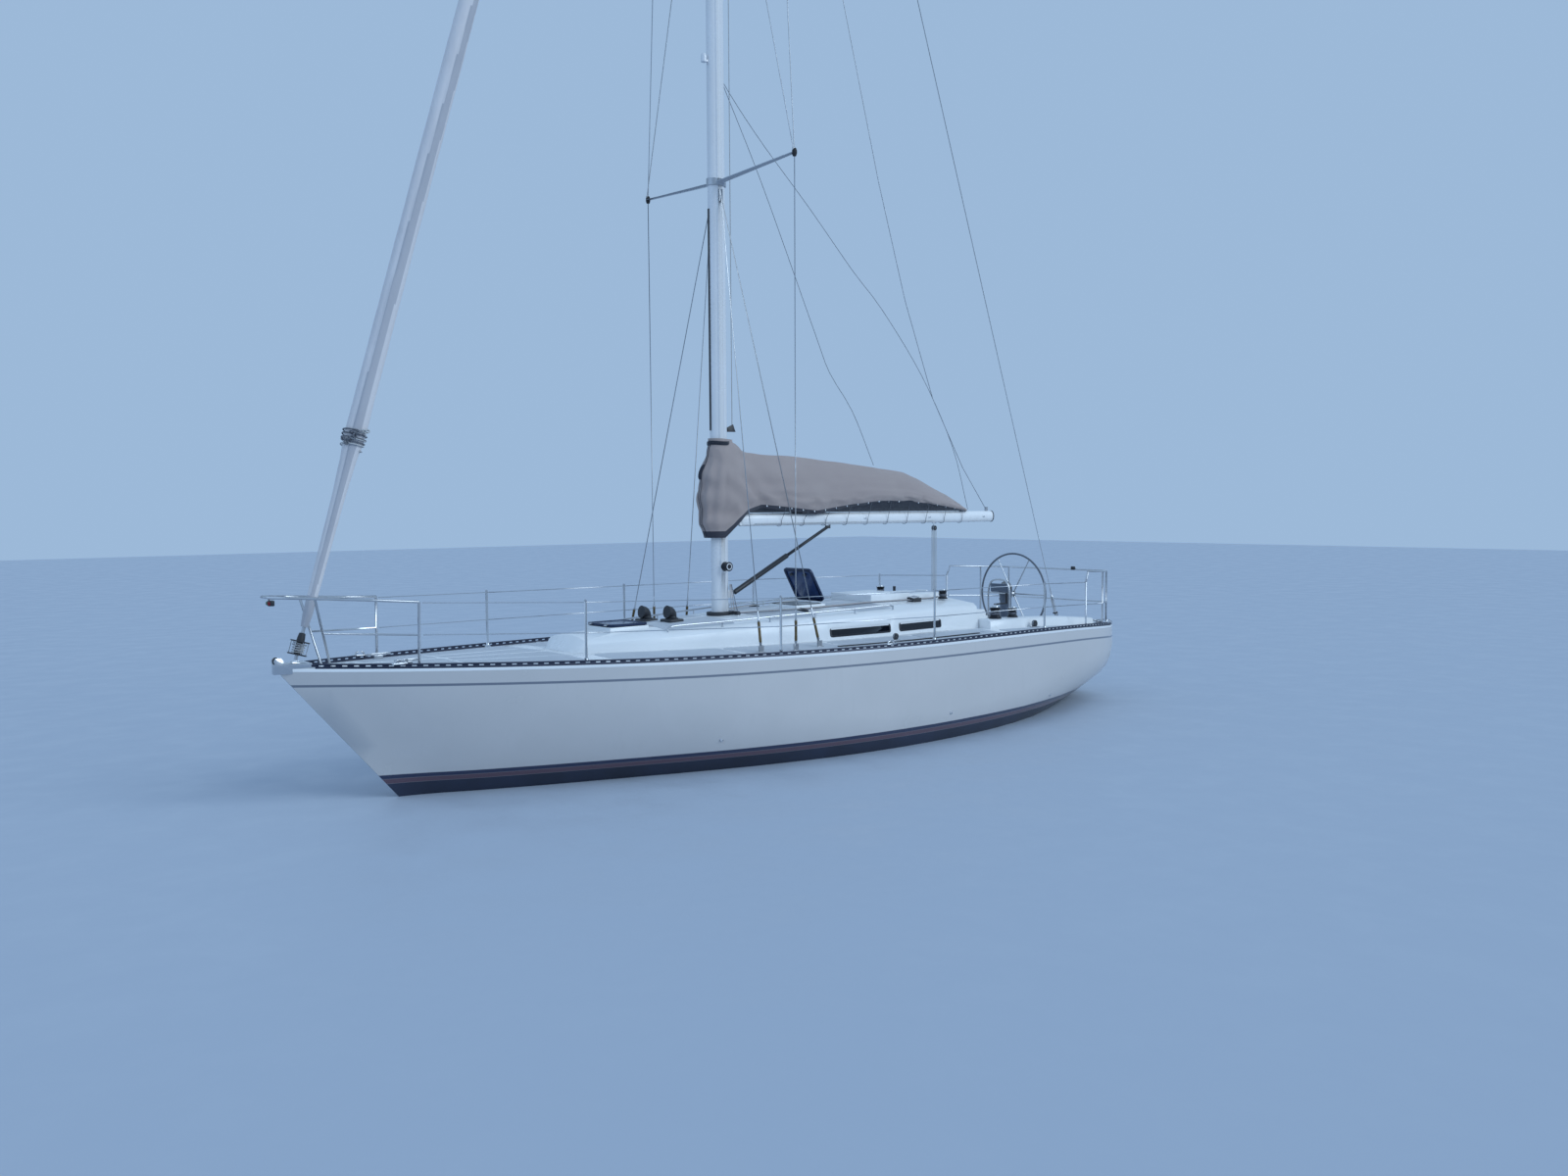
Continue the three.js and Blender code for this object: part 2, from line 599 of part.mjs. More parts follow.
function buildKeelAndRudder() {
  // Fins: half-thickness share along the chord, nose to tail
  const foil = [
    [0, 0.12],
    [0.04, 0.5],
    [0.14, 0.85],
    [0.32, 1],
    [0.6, 0.72],
    [0.85, 0.28],
    [1, 0.05],
  ];
  const fin = (rows) =>
    loft(
      rows.map(({ z, nose, tail, half }) => {
        const side = (sign) => foil.map(([s, w]) => vec(nose + s * (tail - nose), sign * w * half, z));
        return [...side(1), ...side(-1).reverse()];
      }),
    );
  const keel = fin([
    { z: -380, nose: 1080, tail: -760, half: 105 },
    { z: -1000, nose: 900, tail: -700, half: 100 },
    { z: -1640, nose: 760, tail: -690, half: 105 },
    { z: -1950, nose: 720, tail: -740, half: 130 },
  ]);
  add("keel_fin", keel.subtract(hullOuter.scale([1, 1.0006, 1.001])), 0x1a1f2b, 0.7);
  const blade = fin([
    { z: RUDDER.top, nose: RUDDER.x + 165, tail: RUDDER.x - 470, half: 52 },
    { z: -900, nose: RUDDER.x + 140, tail: RUDDER.x - 420, half: 44 },
    { z: RUDDER.foot, nose: RUDDER.x + 100, tail: RUDDER.x - 330, half: 32 },
  ]);
  const stock = bar(vec(RUDDER.x, 0, -400), vec(RUDDER.x, 0, 480), RUDDER.stock, 16);
  add("rudder", blade.add(stock), 0x1a1f2b, 0.7);
  const leg = join([
    raised(
      [
        [LEG.x + 90, 0],
        [LEG.x + 50, 38],
        [LEG.x - 20, 42],
        [LEG.x - 62, 10],
        [LEG.x - 62, -10],
        [LEG.x - 20, -42],
        [LEG.x + 50, -38],
      ],
      -760,
      -240,
    ),
    bar(vec(LEG.x + 130, 0, LEG.propZ), vec(LEG.x - 120, 0, LEG.propZ), 30, 12, 56),
    box(LEG.x - 20, LEG.x + 80, -14, 14, -860, -700),
    box(LEG.x - 100, LEG.x + 120, -75, 75, -335, -240),
  ]);
  const engine = box(-2330, LEG.x - 60, -255, 255, -300, 300);
  const legWay = box(LEG.x - 66, LEG.x + 92, -44, 44, -700, -200);
  const skin = hullOuter.subtract(hullInner(GAP)).subtract(legWay);
  add("engine_and_saildrive", engine.add(leg).subtract(skin), 0x2c2f36, 0.5, 0.5);
  const hub = bar(vec(LEG.x - 128, 0, LEG.propZ), vec(LEG.propX - 70, 0, LEG.propZ), 54, 12, 22);
  const blades = [0, 1, 2].map((i) => {
    const leaf = [
      [0, 38],
      [38, 60],
      [62, 125],
      [50, 185],
      [0, PROP_RADIUS],
      [-46, 180],
      [-58, 120],
      [-36, 58],
    ];
    return raised(leaf, -5, 5)
      .rotate([0, 34, 0])
      .rotate([90, 0, 90])
      .rotate([120 * i, 0, 0])
      .translate([LEG.x - 175, 0, LEG.propZ]);
  });
  add("propeller", join([hub, ...blades]), 0x9a7b3c, 0.35, 1);
}

function ellipse(x, y, a, b, sides = 24) {
  return Array.from({ length: sides }, (_, j) => {
    const angle = (2 * Math.PI * j) / sides;
    return [x + a * Math.cos(angle), y + b * Math.sin(angle)];
  });
}

function buildMast() {
  const a = MAST_HALF_LENGTH;
  const b = MAST_HALF_WIDTH;
  const section = (grow) => ellipse(MAST_X, 0, a + grow, b + grow);
  const tube = raised(section(0), MAST_STEP_TOP + GAP, MAST_TOP).subtract(
    raised(section(-MAST_WALL), MAST_STEP_TOP - 10, MAST_TOP + 10),
  );
  const step = raised(ellipse(MAST_X, 0, a + 62, b + 55), 1440, MAST_STEP_TOP);
  add("mast_step", step.subtract(trunkOuter.translate([0, 0, GAP])), 0x3a3f48, 0.6);
  const clearance = raised(section(GAP), 1700, MAST_TOP + 100);
  for (const s of SPREADERS) {
    const arm = (side) =>
      loft(
        [
          [30, s.chord / 2, s.thickness / 2, s.tip - s.rise],
          [s.span, s.chord * 0.3, s.thickness * 0.36, s.tip],
        ].map(([y, half, thick, z]) =>
          [
            [half, 0],
            [half * 0.3, thick],
            [-half, 0],
            [half * 0.3, -thick],
          ].map(([x, up]) => vec(MAST_X + x, side * y, z + up)),
        ),
      );
    const band = raised(section(14), s.tip - s.rise - 38, s.tip - s.rise + 38);
    add(`spreaders_${s.name}`, join([band, arm(1), arm(-1)]).subtract(clearance), 0xd5d7da, 0.35, 0.6);
  }
  const crane = join([
    box(MAST_X - 330, MAST_X + 170, -42, 42, MAST_TOP + GAP, MAST_TOP + 46),
    raised(section(4), MAST_TOP + GAP, MAST_TOP + 24),
    box(MAST_X - 330, MAST_X - 290, -14, 14, MAST_TOP - 50, MAST_TOP + 10),
    box(MAST_X + 125, MAST_X + 168, -14, 14, MAST_TOP - 70, MAST_TOP + 10),
  ]);
  add("masthead_crane", crane, 0xcfd2d6, 0.35, 0.8);
  const shade = [
    [0, 0],
    [34, 0],
    [34, 70],
    [22, 92],
    [0, 92],
  ];
  const light = turned(0, 0, 0, shade, 10);
  const lampArm = box(-60, 0, -14, 14, 10, 30);
  const lamp = light.add(lampArm).translate([MAST_X + a + 48, 0, 7700]);
  const winchPad = box(MAST_X - 50, MAST_X + 40, 40, b + 14, 2000, 2140);
  const winchDrum = bar(vec(MAST_X - 10, b + 8, 2070), vec(MAST_X - 10, b + 95, 2070), 46, 12, 38);
  const bore = raised(section(-MAST_WALL), MAST_STEP_TOP - 10, MAST_TOP + 10);
  const fittings = join([lamp, winchPad, winchDrum, gooseneckLug(), vangLug()]).subtract(bore);
  add("mast", tube.add(fittings), 0xdfe0e2, 0.35, 0.6);
}

// One wire from its upper end to a turnbuckle and a plate on deck.
function stay(top, foot, sides = 6) {
  const along = new THREE.Vector3().subVectors(top, foot).normalize();
  const screw = foot.clone().addScaledVector(along, 330);
  const low = foot.clone().addScaledVector(along, 60);
  return join([
    bar(foot, top, WIRE, sides),
    bar(low, screw, 13, 6),
    box(foot.x - 32, foot.x + 32, foot.y - 8, foot.y + 8, foot.z - 60, foot.z + 62),
  ]);
}

function buildStandingRigging() {
  const [lower, upper] = SPREADERS;
  const foot = vec(MAST_X, 1320, deckTop(MAST_X, 1320) + 10);
  const lowTip = vec(MAST_X, lower.span + 8, lower.tip);
  const highTip = vec(MAST_X, upper.span + 8, upper.tip);
  const beside = MAST_HALF_WIDTH + 14;
  const head = vec(MAST_X, beside, MAST_TOP - 120);
  const diagonal = vec(MAST_X + 20, beside, upper.tip - 160);
  const tang = (p) => box(p.x - 22, p.x + 22, p.y - 11, p.y + 4, p.z - 70, p.z + 70);
  const clip = (p) => box(p.x - 24, p.x + 24, p.y - 6, p.y + 10, p.z - CLIP_HALF, p.z + CLIP_HALF);
  const caps = [stay(lowTip, foot), bar(lowTip, highTip, WIRE, 6), clip(lowTip), clip(highTip)];
  addPair("cap_shrouds", join(caps).subtract(deckMask), 0x9aa0a6, 0.3, 1);
  // The wires that lead on from a spreader's tip stand on its clip with a fork
  const onward = (tip, ahead, top) => {
    const z = tip.z + CLIP_HALF + GAP;
    const x = tip.x + ahead;
    const fork = box(x - 8, x + 8, tip.y - 8, tip.y + 8, z, z + 30);
    return join([fork, bar(vec(x, tip.y, z + 15), top, WIRE, 6), tang(top)]);
  };
  addPair("upper_shroud", onward(highTip, 0, head), 0x9aa0a6, 0.3, 1);
  addPair("diagonal_shroud", onward(lowTip, 15, diagonal), 0x9aa0a6, 0.3, 1);
  const root = vec(MAST_X, beside, lower.tip - lower.rise - 150);
  const feet = [420, -420].map((step) => vec(MAST_X + step, 1240, deckTop(MAST_X + step, 1240) + 10));
  const lowers = [...feet.map((point) => stay(root, point)), tang(root)];
  addPair("lower_shrouds", join(lowers).subtract(deckMask), 0x9aa0a6, 0.3, 1);
  const sternFoot = vec(-5425, 0, deckTop(-5425, 0) + 10);
  const backTop = vec(MAST_X - 310, 0, MAST_TOP - 54);
  add("backstay", stay(backTop, sternFoot).subtract(deckMask), 0x9aa0a6, 0.3, 1);
}

function buildHeadsail() {
  const foot = vec(5760, 0, deckTop(5760, 0) + 70);
  const head = vec(MAST_X + 148, 0, MAST_TOP - 82);
  const along = new THREE.Vector3().subVectors(head, foot);
  const at = (z) => foot.clone().addScaledVector(along, (z - foot.z) / along.z);
  const foil = bar(foot, head, 15, 8);
  add("forestay", foil, 0xb9bdc1, 0.3, 1);
  const bore = bar(at(foot.z - 60), at(MAST_TOP - 60), 16, 8);
  // Furled sail: height and radius
  const rolls = [
    { z: 1690, r: 34 },
    { z: 1800, r: 46 },
    { z: 2900, r: 66 },
    { z: 3300, r: 88 },
    { z: 3450, r: 104 },
    { z: 3700, r: 100 },
    { z: 7500, r: 98 },
    { z: 12000, r: 80 },
    { z: 16000, r: 48 },
    { z: 16700, r: 26 },
  ];
  const unit = along.clone().normalize();
  const across = new THREE.Vector3().crossVectors(unit, vec(0, 1, 0)).normalize();
  const rings = rolls.map(({ z, r }) => {
    const centre = at(z);
    return Array.from({ length: 16 }, (_, j) => {
      const a = (2 * Math.PI * j) / 16;
      return centre
        .clone()
        .addScaledVector(across, r * Math.cos(a))
        .add(vec(0, r * Math.sin(a), 0));
    });
  });
  add("furled_headsail", loft(rings).subtract(bore), 0xd6d2d4, 0.8);
  const drumLow = at(1440);
  const drum = join([
    bar(drumLow, at(1452), 88, 14),
    bar(at(1450), at(1560), 48, 14),
    bar(at(1558), at(1572), 88, 14),
    bar(at(1570), at(1640), 30, 10),
  ]);
  add("furler_drum", drum.subtract(bore), 0x23262b, 0.5, 0.3);
  const casting = raised(
    [
      [5655, -120],
      [5900, -40],
      [5960, -28],
      [5960, 28],
      [5900, 40],
      [5655, 120],
    ],
    1280,
    1372,
  );
  const tangs = box(5725, 5800, -12, 12, 1340, foot.z - 9);
  const covered = hullOuter.add(deckMask);
  const clear = covered.add(covered.translate([GAP, 0, 0])).add(covered.translate([0, 0, GAP]));
  add("stemhead_fitting", casting.add(tangs).subtract(clear), 0xb9bdc1, 0.3, 1);
}

// The lug on the mast's aft face that the boom's upright pin turns in.
function gooseneckLug() {
  const g = GOOSENECK;
  const aftFace = MAST_X - MAST_HALF_LENGTH;
  const lug = box(aftFace - 6, g.x, -24, 24, g.z - 40, g.z + 40);
  const eye = bar(vec(g.x, 0, g.z - 40), vec(g.x, 0, g.z + 40), 26, 16);
  const hole = bar(vec(g.x, 0, g.z - 90), vec(g.x, 0, g.z + 90), 13, 16);
  const base = box(aftFace + 25, aftFace - 12, -30, 30, g.z - 90, g.z + 90);
  return join([lug, eye, base]).subtract(hole);
}

const vangLug = () => box(MAST_X - MAST_HALF_LENGTH + 20, GOOSENECK.x - 14, -18, 18, 1700, 1790);

function buildBoom() {
  const g = GOOSENECK;
  const ears = [1, -1].map((side) =>
    box(g.x + 20, BOOM.fore + 2, -22, 22, g.z + side * 46, g.z + side * 62),
  );
  const pin = bar(vec(g.x, 0, g.z - 68), vec(g.x, 0, g.z + 68), 10, 16);
  const cap = box(BOOM.fore + 30, BOOM.fore - 2, -40, 40, g.z - 64, g.z + 64);
  const section = (grow) => ellipse(0, 0, BOOM.halfHeight + grow, BOOM.halfWidth + grow, 20);
  const length = BOOM.fore - BOOM.aft;
  const tube = raised(section(0), 0, length).subtract(raised(section(-BOOM.wall), -10, length + 10));
  const spar = tube.rotate([0, -90, 0]).translate([BOOM.fore, 0, g.z]);
  add("boom", join([spar, ...ears, pin, cap]), 0xdfe0e2, 0.35, 0.6);
  const vangLow = vec(g.x - 45, 0, 1760);
  const vangHigh = vec(-790, 0, g.z - BOOM.halfHeight - 32);
  const middle = vangLow.clone().lerp(vangHigh, 0.55);
  const vang = join([
    bar(vangLow, middle, 30, 10),
    bar(middle, vangHigh, 19, 8),
    box(vangHigh.x - 45, vangHigh.x + 25, -12, 12, vangHigh.z - 14, g.z - BOOM.halfHeight - GAP),
  ]);
  add("vang", vang, 0x3b4150, 0.45, 0.4);
  // Sail under its cover: place along, top, half-width
  const rows = [
    { x: 590, top: 3400, half: 80 },
    { x: 440, top: 3378, half: 130 },
    { x: 150, top: 3366, half: 165 },
    { x: -890, top: 3304, half: 172 },
    { x: -1750, top: 3230, half: 165 },
    { x: -2180, top: 3180, half: 155 },
    { x: -2700, top: 2992, half: 130 },
    { x: -3180, top: 2805, half: 85 },
    { x: -3330, top: 2735, half: 40 },
  ];
  const low = g.z + BOOM.halfHeight + 2;
  const rings = rows.map(({ x, top, half }) => {
    const height = top - low;
    const side = [
      [0.45, 0],
      [0.95, 0.16],
      [1, 0.38],
      [0.7, 0.72],
      [0.3, 0.94],
    ];
    return [
      ...side.map(([w, h]) => vec(x, w * half, low + h * height)),
      vec(x, 0, top),
      ...[...side].reverse().map(([w, h]) => vec(x, -w * half, low + h * height)),
    ];
  });
  add("mainsail_cover", loft(rings), 0x96908a, 0.9);
  // Cover's collar round the mast: height, forward reach, half-width
  const hoops = [
    { z: 2290, reach: 140, half: 106 },
    { z: 2410, reach: 192, half: 140 },
    { z: 2560, reach: 255, half: 158 },
    { z: 2900, reach: 268, half: 168 },
    { z: 3165, reach: 236, half: 160 },
    { z: 3333, reach: 168, half: 126 },
    { z: 3450, reach: 140, half: 104 },
    { z: 3540, reach: 134, half: 98 },
  ];
  const collar = loft(
    hoops.map(({ z, reach, half }) =>
      [
        [-30, -half],
        [60, -half],
        [reach * 0.8, -half * 0.6],
        [reach, 0],
        [reach * 0.8, half * 0.6],
        [60, half],
        [-30, half],
      ].map(([x, y]) => vec(MAST_X + x, y, z)),
    ),
  );
  const mastSpace = raised(ellipse(MAST_X, 0, MAST_HALF_LENGTH + 8, MAST_HALF_WIDTH + 8), 2000, 3800);
  const open = box(MAST_X - 200, MAST_X - 20, -MAST_HALF_WIDTH - 2, MAST_HALF_WIDTH + 2, 2000, 3800);
  // The hem rises aft from the mast's front to the boom
  const underHem = spread(
    [
      [860, 2200],
      [1030, 2200],
      [1030, 2280],
      [1000, 2350],
      [950, 2440],
      [860, 2490],
    ],
    -200,
    200,
  );
  add("cover_collar", collar.subtract(join([mastSpace, open, underHem])), 0x96908a, 0.9);
  const liftFoot = vec(BOOM.aft + 90, 0, g.z + BOOM.halfHeight + 14);
  const becket = box(liftFoot.x - 24, liftFoot.x + 24, -9, 9, g.z + BOOM.halfHeight + GAP, liftFoot.z + 40);
  const lift = [liftFoot, ...TOPPING_LIFT.map(({ x, z }) => vec(x, 0, z)), vec(g.x, 0, MAST_TOP - 16)];
  add("topping_lift", bent(lift, 4.5, 5).add(becket), 0x8e9499, 0.5);
  const sheetX = -2740;
  const beam = join([
    box(sheetX - 30, sheetX + 30, -860, 860, 1010, 1046),
    box(sheetX - 26, sheetX + 26, -860, -800, COCKPIT.seat + GAP, 1012),
    box(sheetX - 26, sheetX + 26, 800, 860, COCKPIT.seat + GAP, 1012),
  ]);
  const sheetTop = g.z - BOOM.halfHeight - 22;
  const tackle = join([
    beam,
    box(sheetX - 42, sheetX + 42, -45, 45, 1044, 1092),
    box(sheetX - 34, sheetX + 34, -20, 20, 1090, 1180),
    bar(vec(sheetX + 12, 0, 1170), vec(sheetX + 12, 0, sheetTop - 90), 7, 6),
    bar(vec(sheetX - 14, 0, 1170), vec(sheetX - 14, 0, sheetTop - 90), 7, 6),
    box(sheetX - 34, sheetX + 34, -20, 20, sheetTop - 100, sheetTop),
  ]);
  add("mainsheet_traveller", tackle, 0x9fa2a6, 0.7);
}

function buildHelm() {
  const w = WHEEL;
  const rim = new THREE.TorusGeometry(w.radius, w.rim, 8, 48).rotateY(Math.PI / 2).translate(w.x, 0, w.z);
  const spokes = [0, 1, 2].map((i) => {
    const a = (Math.PI * i) / 3;
    const out = vec(0, Math.cos(a), Math.sin(a)).multiplyScalar(w.radius);
    return bar(vec(w.x, -out.y, w.z - out.z), vec(w.x, out.y, w.z + out.z), 8, 6);
  });
  const hub = bar(vec(w.x - 24, 0, w.z), vec(w.x + 62, 0, w.z), 44, 14);
  add("steering_wheel", join([solid(rim), ...spokes, hub]), 0xc4c8cc, 0.25, 1);
  const x = w.x + 165;
  const column = [
    [0, 0],
    [150, 0],
    [150, 20],
    [92, 60],
    [80, 850],
    [95, 960],
    [0, 960],
  ];
  const compass = [
    [0, 0],
    [88, 0],
    [88, 60],
    [60, 118],
    [0, 128],
  ];
  const pedestal = turned(x, 0, COCKPIT.sole + GAP, column, 14);
  const binnacle = turned(x, 0, COCKPIT.sole + 958, compass, 14);
  const axle = bar(vec(w.x + 70, 0, w.z), vec(x, 0, w.z), 22, 10);
  const gx = x + 150;
  const guard = bent(
    [
      vec(gx, -190, COCKPIT.sole + 2),
      vec(gx, -190, 1540),
      vec(gx, -150, 1660),
      vec(gx, -70, 1700),
      vec(gx, 70, 1700),
      vec(gx, 150, 1660),
      vec(gx, 190, 1540),
      vec(gx, 190, COCKPIT.sole + 2),
    ],
    TUBE,
  );
  const strut = box(x, gx, -14, 14, 1505, 1525);
  const crossbar = bar(vec(gx, -190, 1515), vec(gx, 190, 1515), TUBE, 6);
  add("steering_pedestal", join([pedestal, binnacle, axle, guard, strut, crossbar]), 0xe8eaec, 0.4);
}

function buildRails() {
  const posts = [3330, 1240, -950, -3200];
  const place = (x, up) => vec(x, edgeAt(x).half - 75, edgeAt(x).sheer + DECK_THICKNESS + up);
  const lineAt = (up) => [4760, ...posts, -4370].map((x) => place(x, up));
  const stanchions = posts.map((x) =>
    join([bar(place(x, -18), place(x, RAIL_HEIGHT + 6), TUBE, 8), bar(place(x, -18), place(x, 62), 20, 8)]),
  );
  const lines = [bent(lineAt(RAIL_HEIGHT - 8), WIRE, 5), bent(lineAt(RAIL_HEIGHT / 2), WIRE, 5)];
  addPair("guard_rail", join([...stanchions, ...lines]).subtract(deckMask), 0xb9bdc1, 0.3, 1);
  const at = (x, out, up) => vec(x, out, edgeAt(Math.min(x, STEM_X)).sheer + DECK_THICKNESS + up);
  const bowY = (x) => edgeAt(x).half - 75;
  const bowTop = [
    at(4790, bowY(4790), RAIL_HEIGHT),
    at(5300, 250, RAIL_HEIGHT + 15),
    at(5800, 170, RAIL_HEIGHT + 30),
    at(6010, 90, RAIL_HEIGHT + 36),
    at(6010, -90, RAIL_HEIGHT + 36),
    at(5800, -170, RAIL_HEIGHT + 30),
    at(5300, -250, RAIL_HEIGHT + 15),
    at(4790, -bowY(4790), RAIL_HEIGHT),
  ];
  const bowLegs = [1, -1].flatMap((side) => [
    bar(at(4800, side * bowY(4800), -10), at(4790, side * bowY(4790), RAIL_HEIGHT), TUBE, 6),
    bar(at(5480, side * 110, -10), at(5640, side * 190, RAIL_HEIGHT + 24), TUBE, 6),
  ]);
  const bowLow = [1, -1].map((side) =>
    bar(at(4796, side * bowY(4796), RAIL_HEIGHT / 2), at(5560, side * 150, RAIL_HEIGHT / 2 + 10), 9, 6),
  );
  add("bow_pulpit", join([bent(bowTop, TUBE), ...bowLegs, ...bowLow]).subtract(deckMask), 0xb9bdc1, 0.25, 1);
  const quarter = edgeAt(-5400).half - 75;
  const sternHalf = [
    at(-4400, edgeAt(-4400).half - 75, RAIL_HEIGHT),
    at(-4460, edgeAt(-4460).half - 75, PUSHPIT_HEIGHT),
    at(-5000, edgeAt(-5000).half - 75, PUSHPIT_HEIGHT + 5),
    at(-5400, quarter - 20, PUSHPIT_HEIGHT + 10),
    at(-5455, quarter - 120, PUSHPIT_HEIGHT + 10),
  ];
  const across = (points) => [...points, ...points.map((p) => vec(p.x, -p.y, p.z)).reverse()];
  const sternLow = sternHalf.slice(1).map((p) => vec(p.x, p.y, p.z - PUSHPIT_HEIGHT + RAIL_HEIGHT / 2));
  const sternLegs = [1, -1].flatMap((side) =>
    [0, 2, 3].map((i) => {
      const top = sternHalf[i];
      return bar(at(top.x, side * top.y, -10), vec(top.x, side * top.y, top.z), TUBE, 6);
    }),
  );
  const lowStart = vec(-4400, sternHalf[0].y, sternHalf[0].z - RAIL_HEIGHT / 2);
  const pushpit = join([bent(across(sternHalf), TUBE), bent(across([lowStart, ...sternLow]), 9), ...sternLegs]);
  add("stern_pushpit", pushpit.subtract(deckMask), 0xb9bdc1, 0.25, 1);
}

buildHull();
buildTrunk();
buildHatch("mid", MID_HATCH);
buildHatch("fore", FORE_HATCH);
buildCompanionway();
buildCockpit();
buildDeckGear();
buildInterior();
buildKeelAndRudder();
buildMast();
buildStandingRigging();
buildHeadsail();
buildBoom();
buildHelm();
buildRails();

export default group;
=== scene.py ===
"""Looks of a masthead sloop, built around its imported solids.

Metres, +X to the bow, +Y to port, +Z up; the water's surface is at z = 0.
"""

import json
import logging
from collections.abc import Callable, Sequence
from dataclasses import dataclass
from enum import Enum
from math import atan2, ceil, copysign, cos, hypot, pi, radians, sin, sqrt

import bmesh
import bpy
import numpy as np
from mathutils import Matrix, Vector, noise
from mathutils.bvhtree import BVHTree


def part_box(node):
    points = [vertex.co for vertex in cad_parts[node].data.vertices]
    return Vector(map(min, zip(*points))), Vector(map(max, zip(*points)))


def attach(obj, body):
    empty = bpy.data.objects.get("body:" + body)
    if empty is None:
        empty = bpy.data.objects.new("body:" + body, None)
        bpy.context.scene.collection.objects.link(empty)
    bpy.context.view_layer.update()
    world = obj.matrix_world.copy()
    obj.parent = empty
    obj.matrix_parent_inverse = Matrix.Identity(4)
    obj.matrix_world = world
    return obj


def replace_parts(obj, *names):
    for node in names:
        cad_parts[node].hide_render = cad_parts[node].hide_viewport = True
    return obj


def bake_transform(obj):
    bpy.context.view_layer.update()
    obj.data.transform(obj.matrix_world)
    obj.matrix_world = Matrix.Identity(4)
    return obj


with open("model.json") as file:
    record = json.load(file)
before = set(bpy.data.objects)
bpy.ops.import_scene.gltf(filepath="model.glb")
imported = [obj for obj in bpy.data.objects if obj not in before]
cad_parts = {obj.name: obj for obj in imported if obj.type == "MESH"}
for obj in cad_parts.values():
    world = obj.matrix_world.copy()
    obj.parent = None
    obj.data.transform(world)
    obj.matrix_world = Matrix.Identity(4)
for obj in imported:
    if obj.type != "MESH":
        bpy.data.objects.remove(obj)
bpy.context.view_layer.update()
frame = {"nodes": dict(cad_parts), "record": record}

log = logging.getLogger("yacht")

Pair = tuple[float, float]
Point = tuple[float, float, float]
Pairs = Sequence[Pair]
Spot = Sequence[float]
Path = Table = Sequence[Spot]
Colour = int
Material, Mesh, Object, Node = bpy.types.Material, bpy.types.Mesh, bpy.types.Object, bpy.types.Node
Tree, Socket, Sockets = bpy.types.NodeTree, bpy.types.NodeSocket, bpy.types.bpy_prop_collection

frozen = dataclass(frozen=True)
YACHT = "yacht"
MAST_X = 0.9
UP, AHEAD, PORT = Vector((0, 0, 1)), Vector((1, 0, 0)), Vector((0, 1, 0))
STILL = Matrix.Identity(4)
UPRIGHT = Matrix(((1, 0, 0, 0), (0, 0, -1, 0), (0, 1, 0, 0), (0, 0, 0, 1)))
SHARP = 38.0
SOFT_LINE = 0.0025


class Side(Enum):
    """A side of the boat, with the sign of its y."""

    port = 1
    starboard = -1


def srgb(colour: Colour, share: float = 1.0) -> tuple[float, ...]:
    """Turns a colour of 8 bits a channel, darkened to a share, into linear light with a full alpha."""
    channels = [int((colour >> shift & 255) * share) / 255 for shift in (16, 8, 0)]
    return (*(c / 12.92 if c < 0.04045 else ((c + 0.055) / 1.055) ** 2.4 for c in channels), 1.0)


class DeckEdge:
    """The deck's edge: half-width and height at each place along the boat."""

    def __init__(self) -> None:
        """Reads the edge off the toe rail's solid."""
        mesh = frame["nodes"]["toe_rail_port"].data
        rows: dict[float, list[Vector]] = {}
        for vertex in mesh.vertices:
            rows.setdefault(round(vertex.co.x, 3), []).append(vertex.co)
        full = sorted((x, ps) for x, ps in rows.items() if len({round(p.z, 3) for p in ps}) > 1)
        self.x = np.array([x for x, _ in full])
        self.out = np.array([max(p.y for p in ps) for _, ps in full]) + 0.004
        self.sheer = np.array([max(p.z for p in ps) for _, ps in full]) - 0.076

    def half(self, x: float) -> float:
        """Gives the deck's half-width at a place along the boat."""
        return float(np.interp(x, self.x, self.out))

    def height(self, x: float) -> float:
        """Gives the sheer's height at a place along the boat."""
        return float(np.interp(x, self.x, self.sheer))


# ---- finishes ----


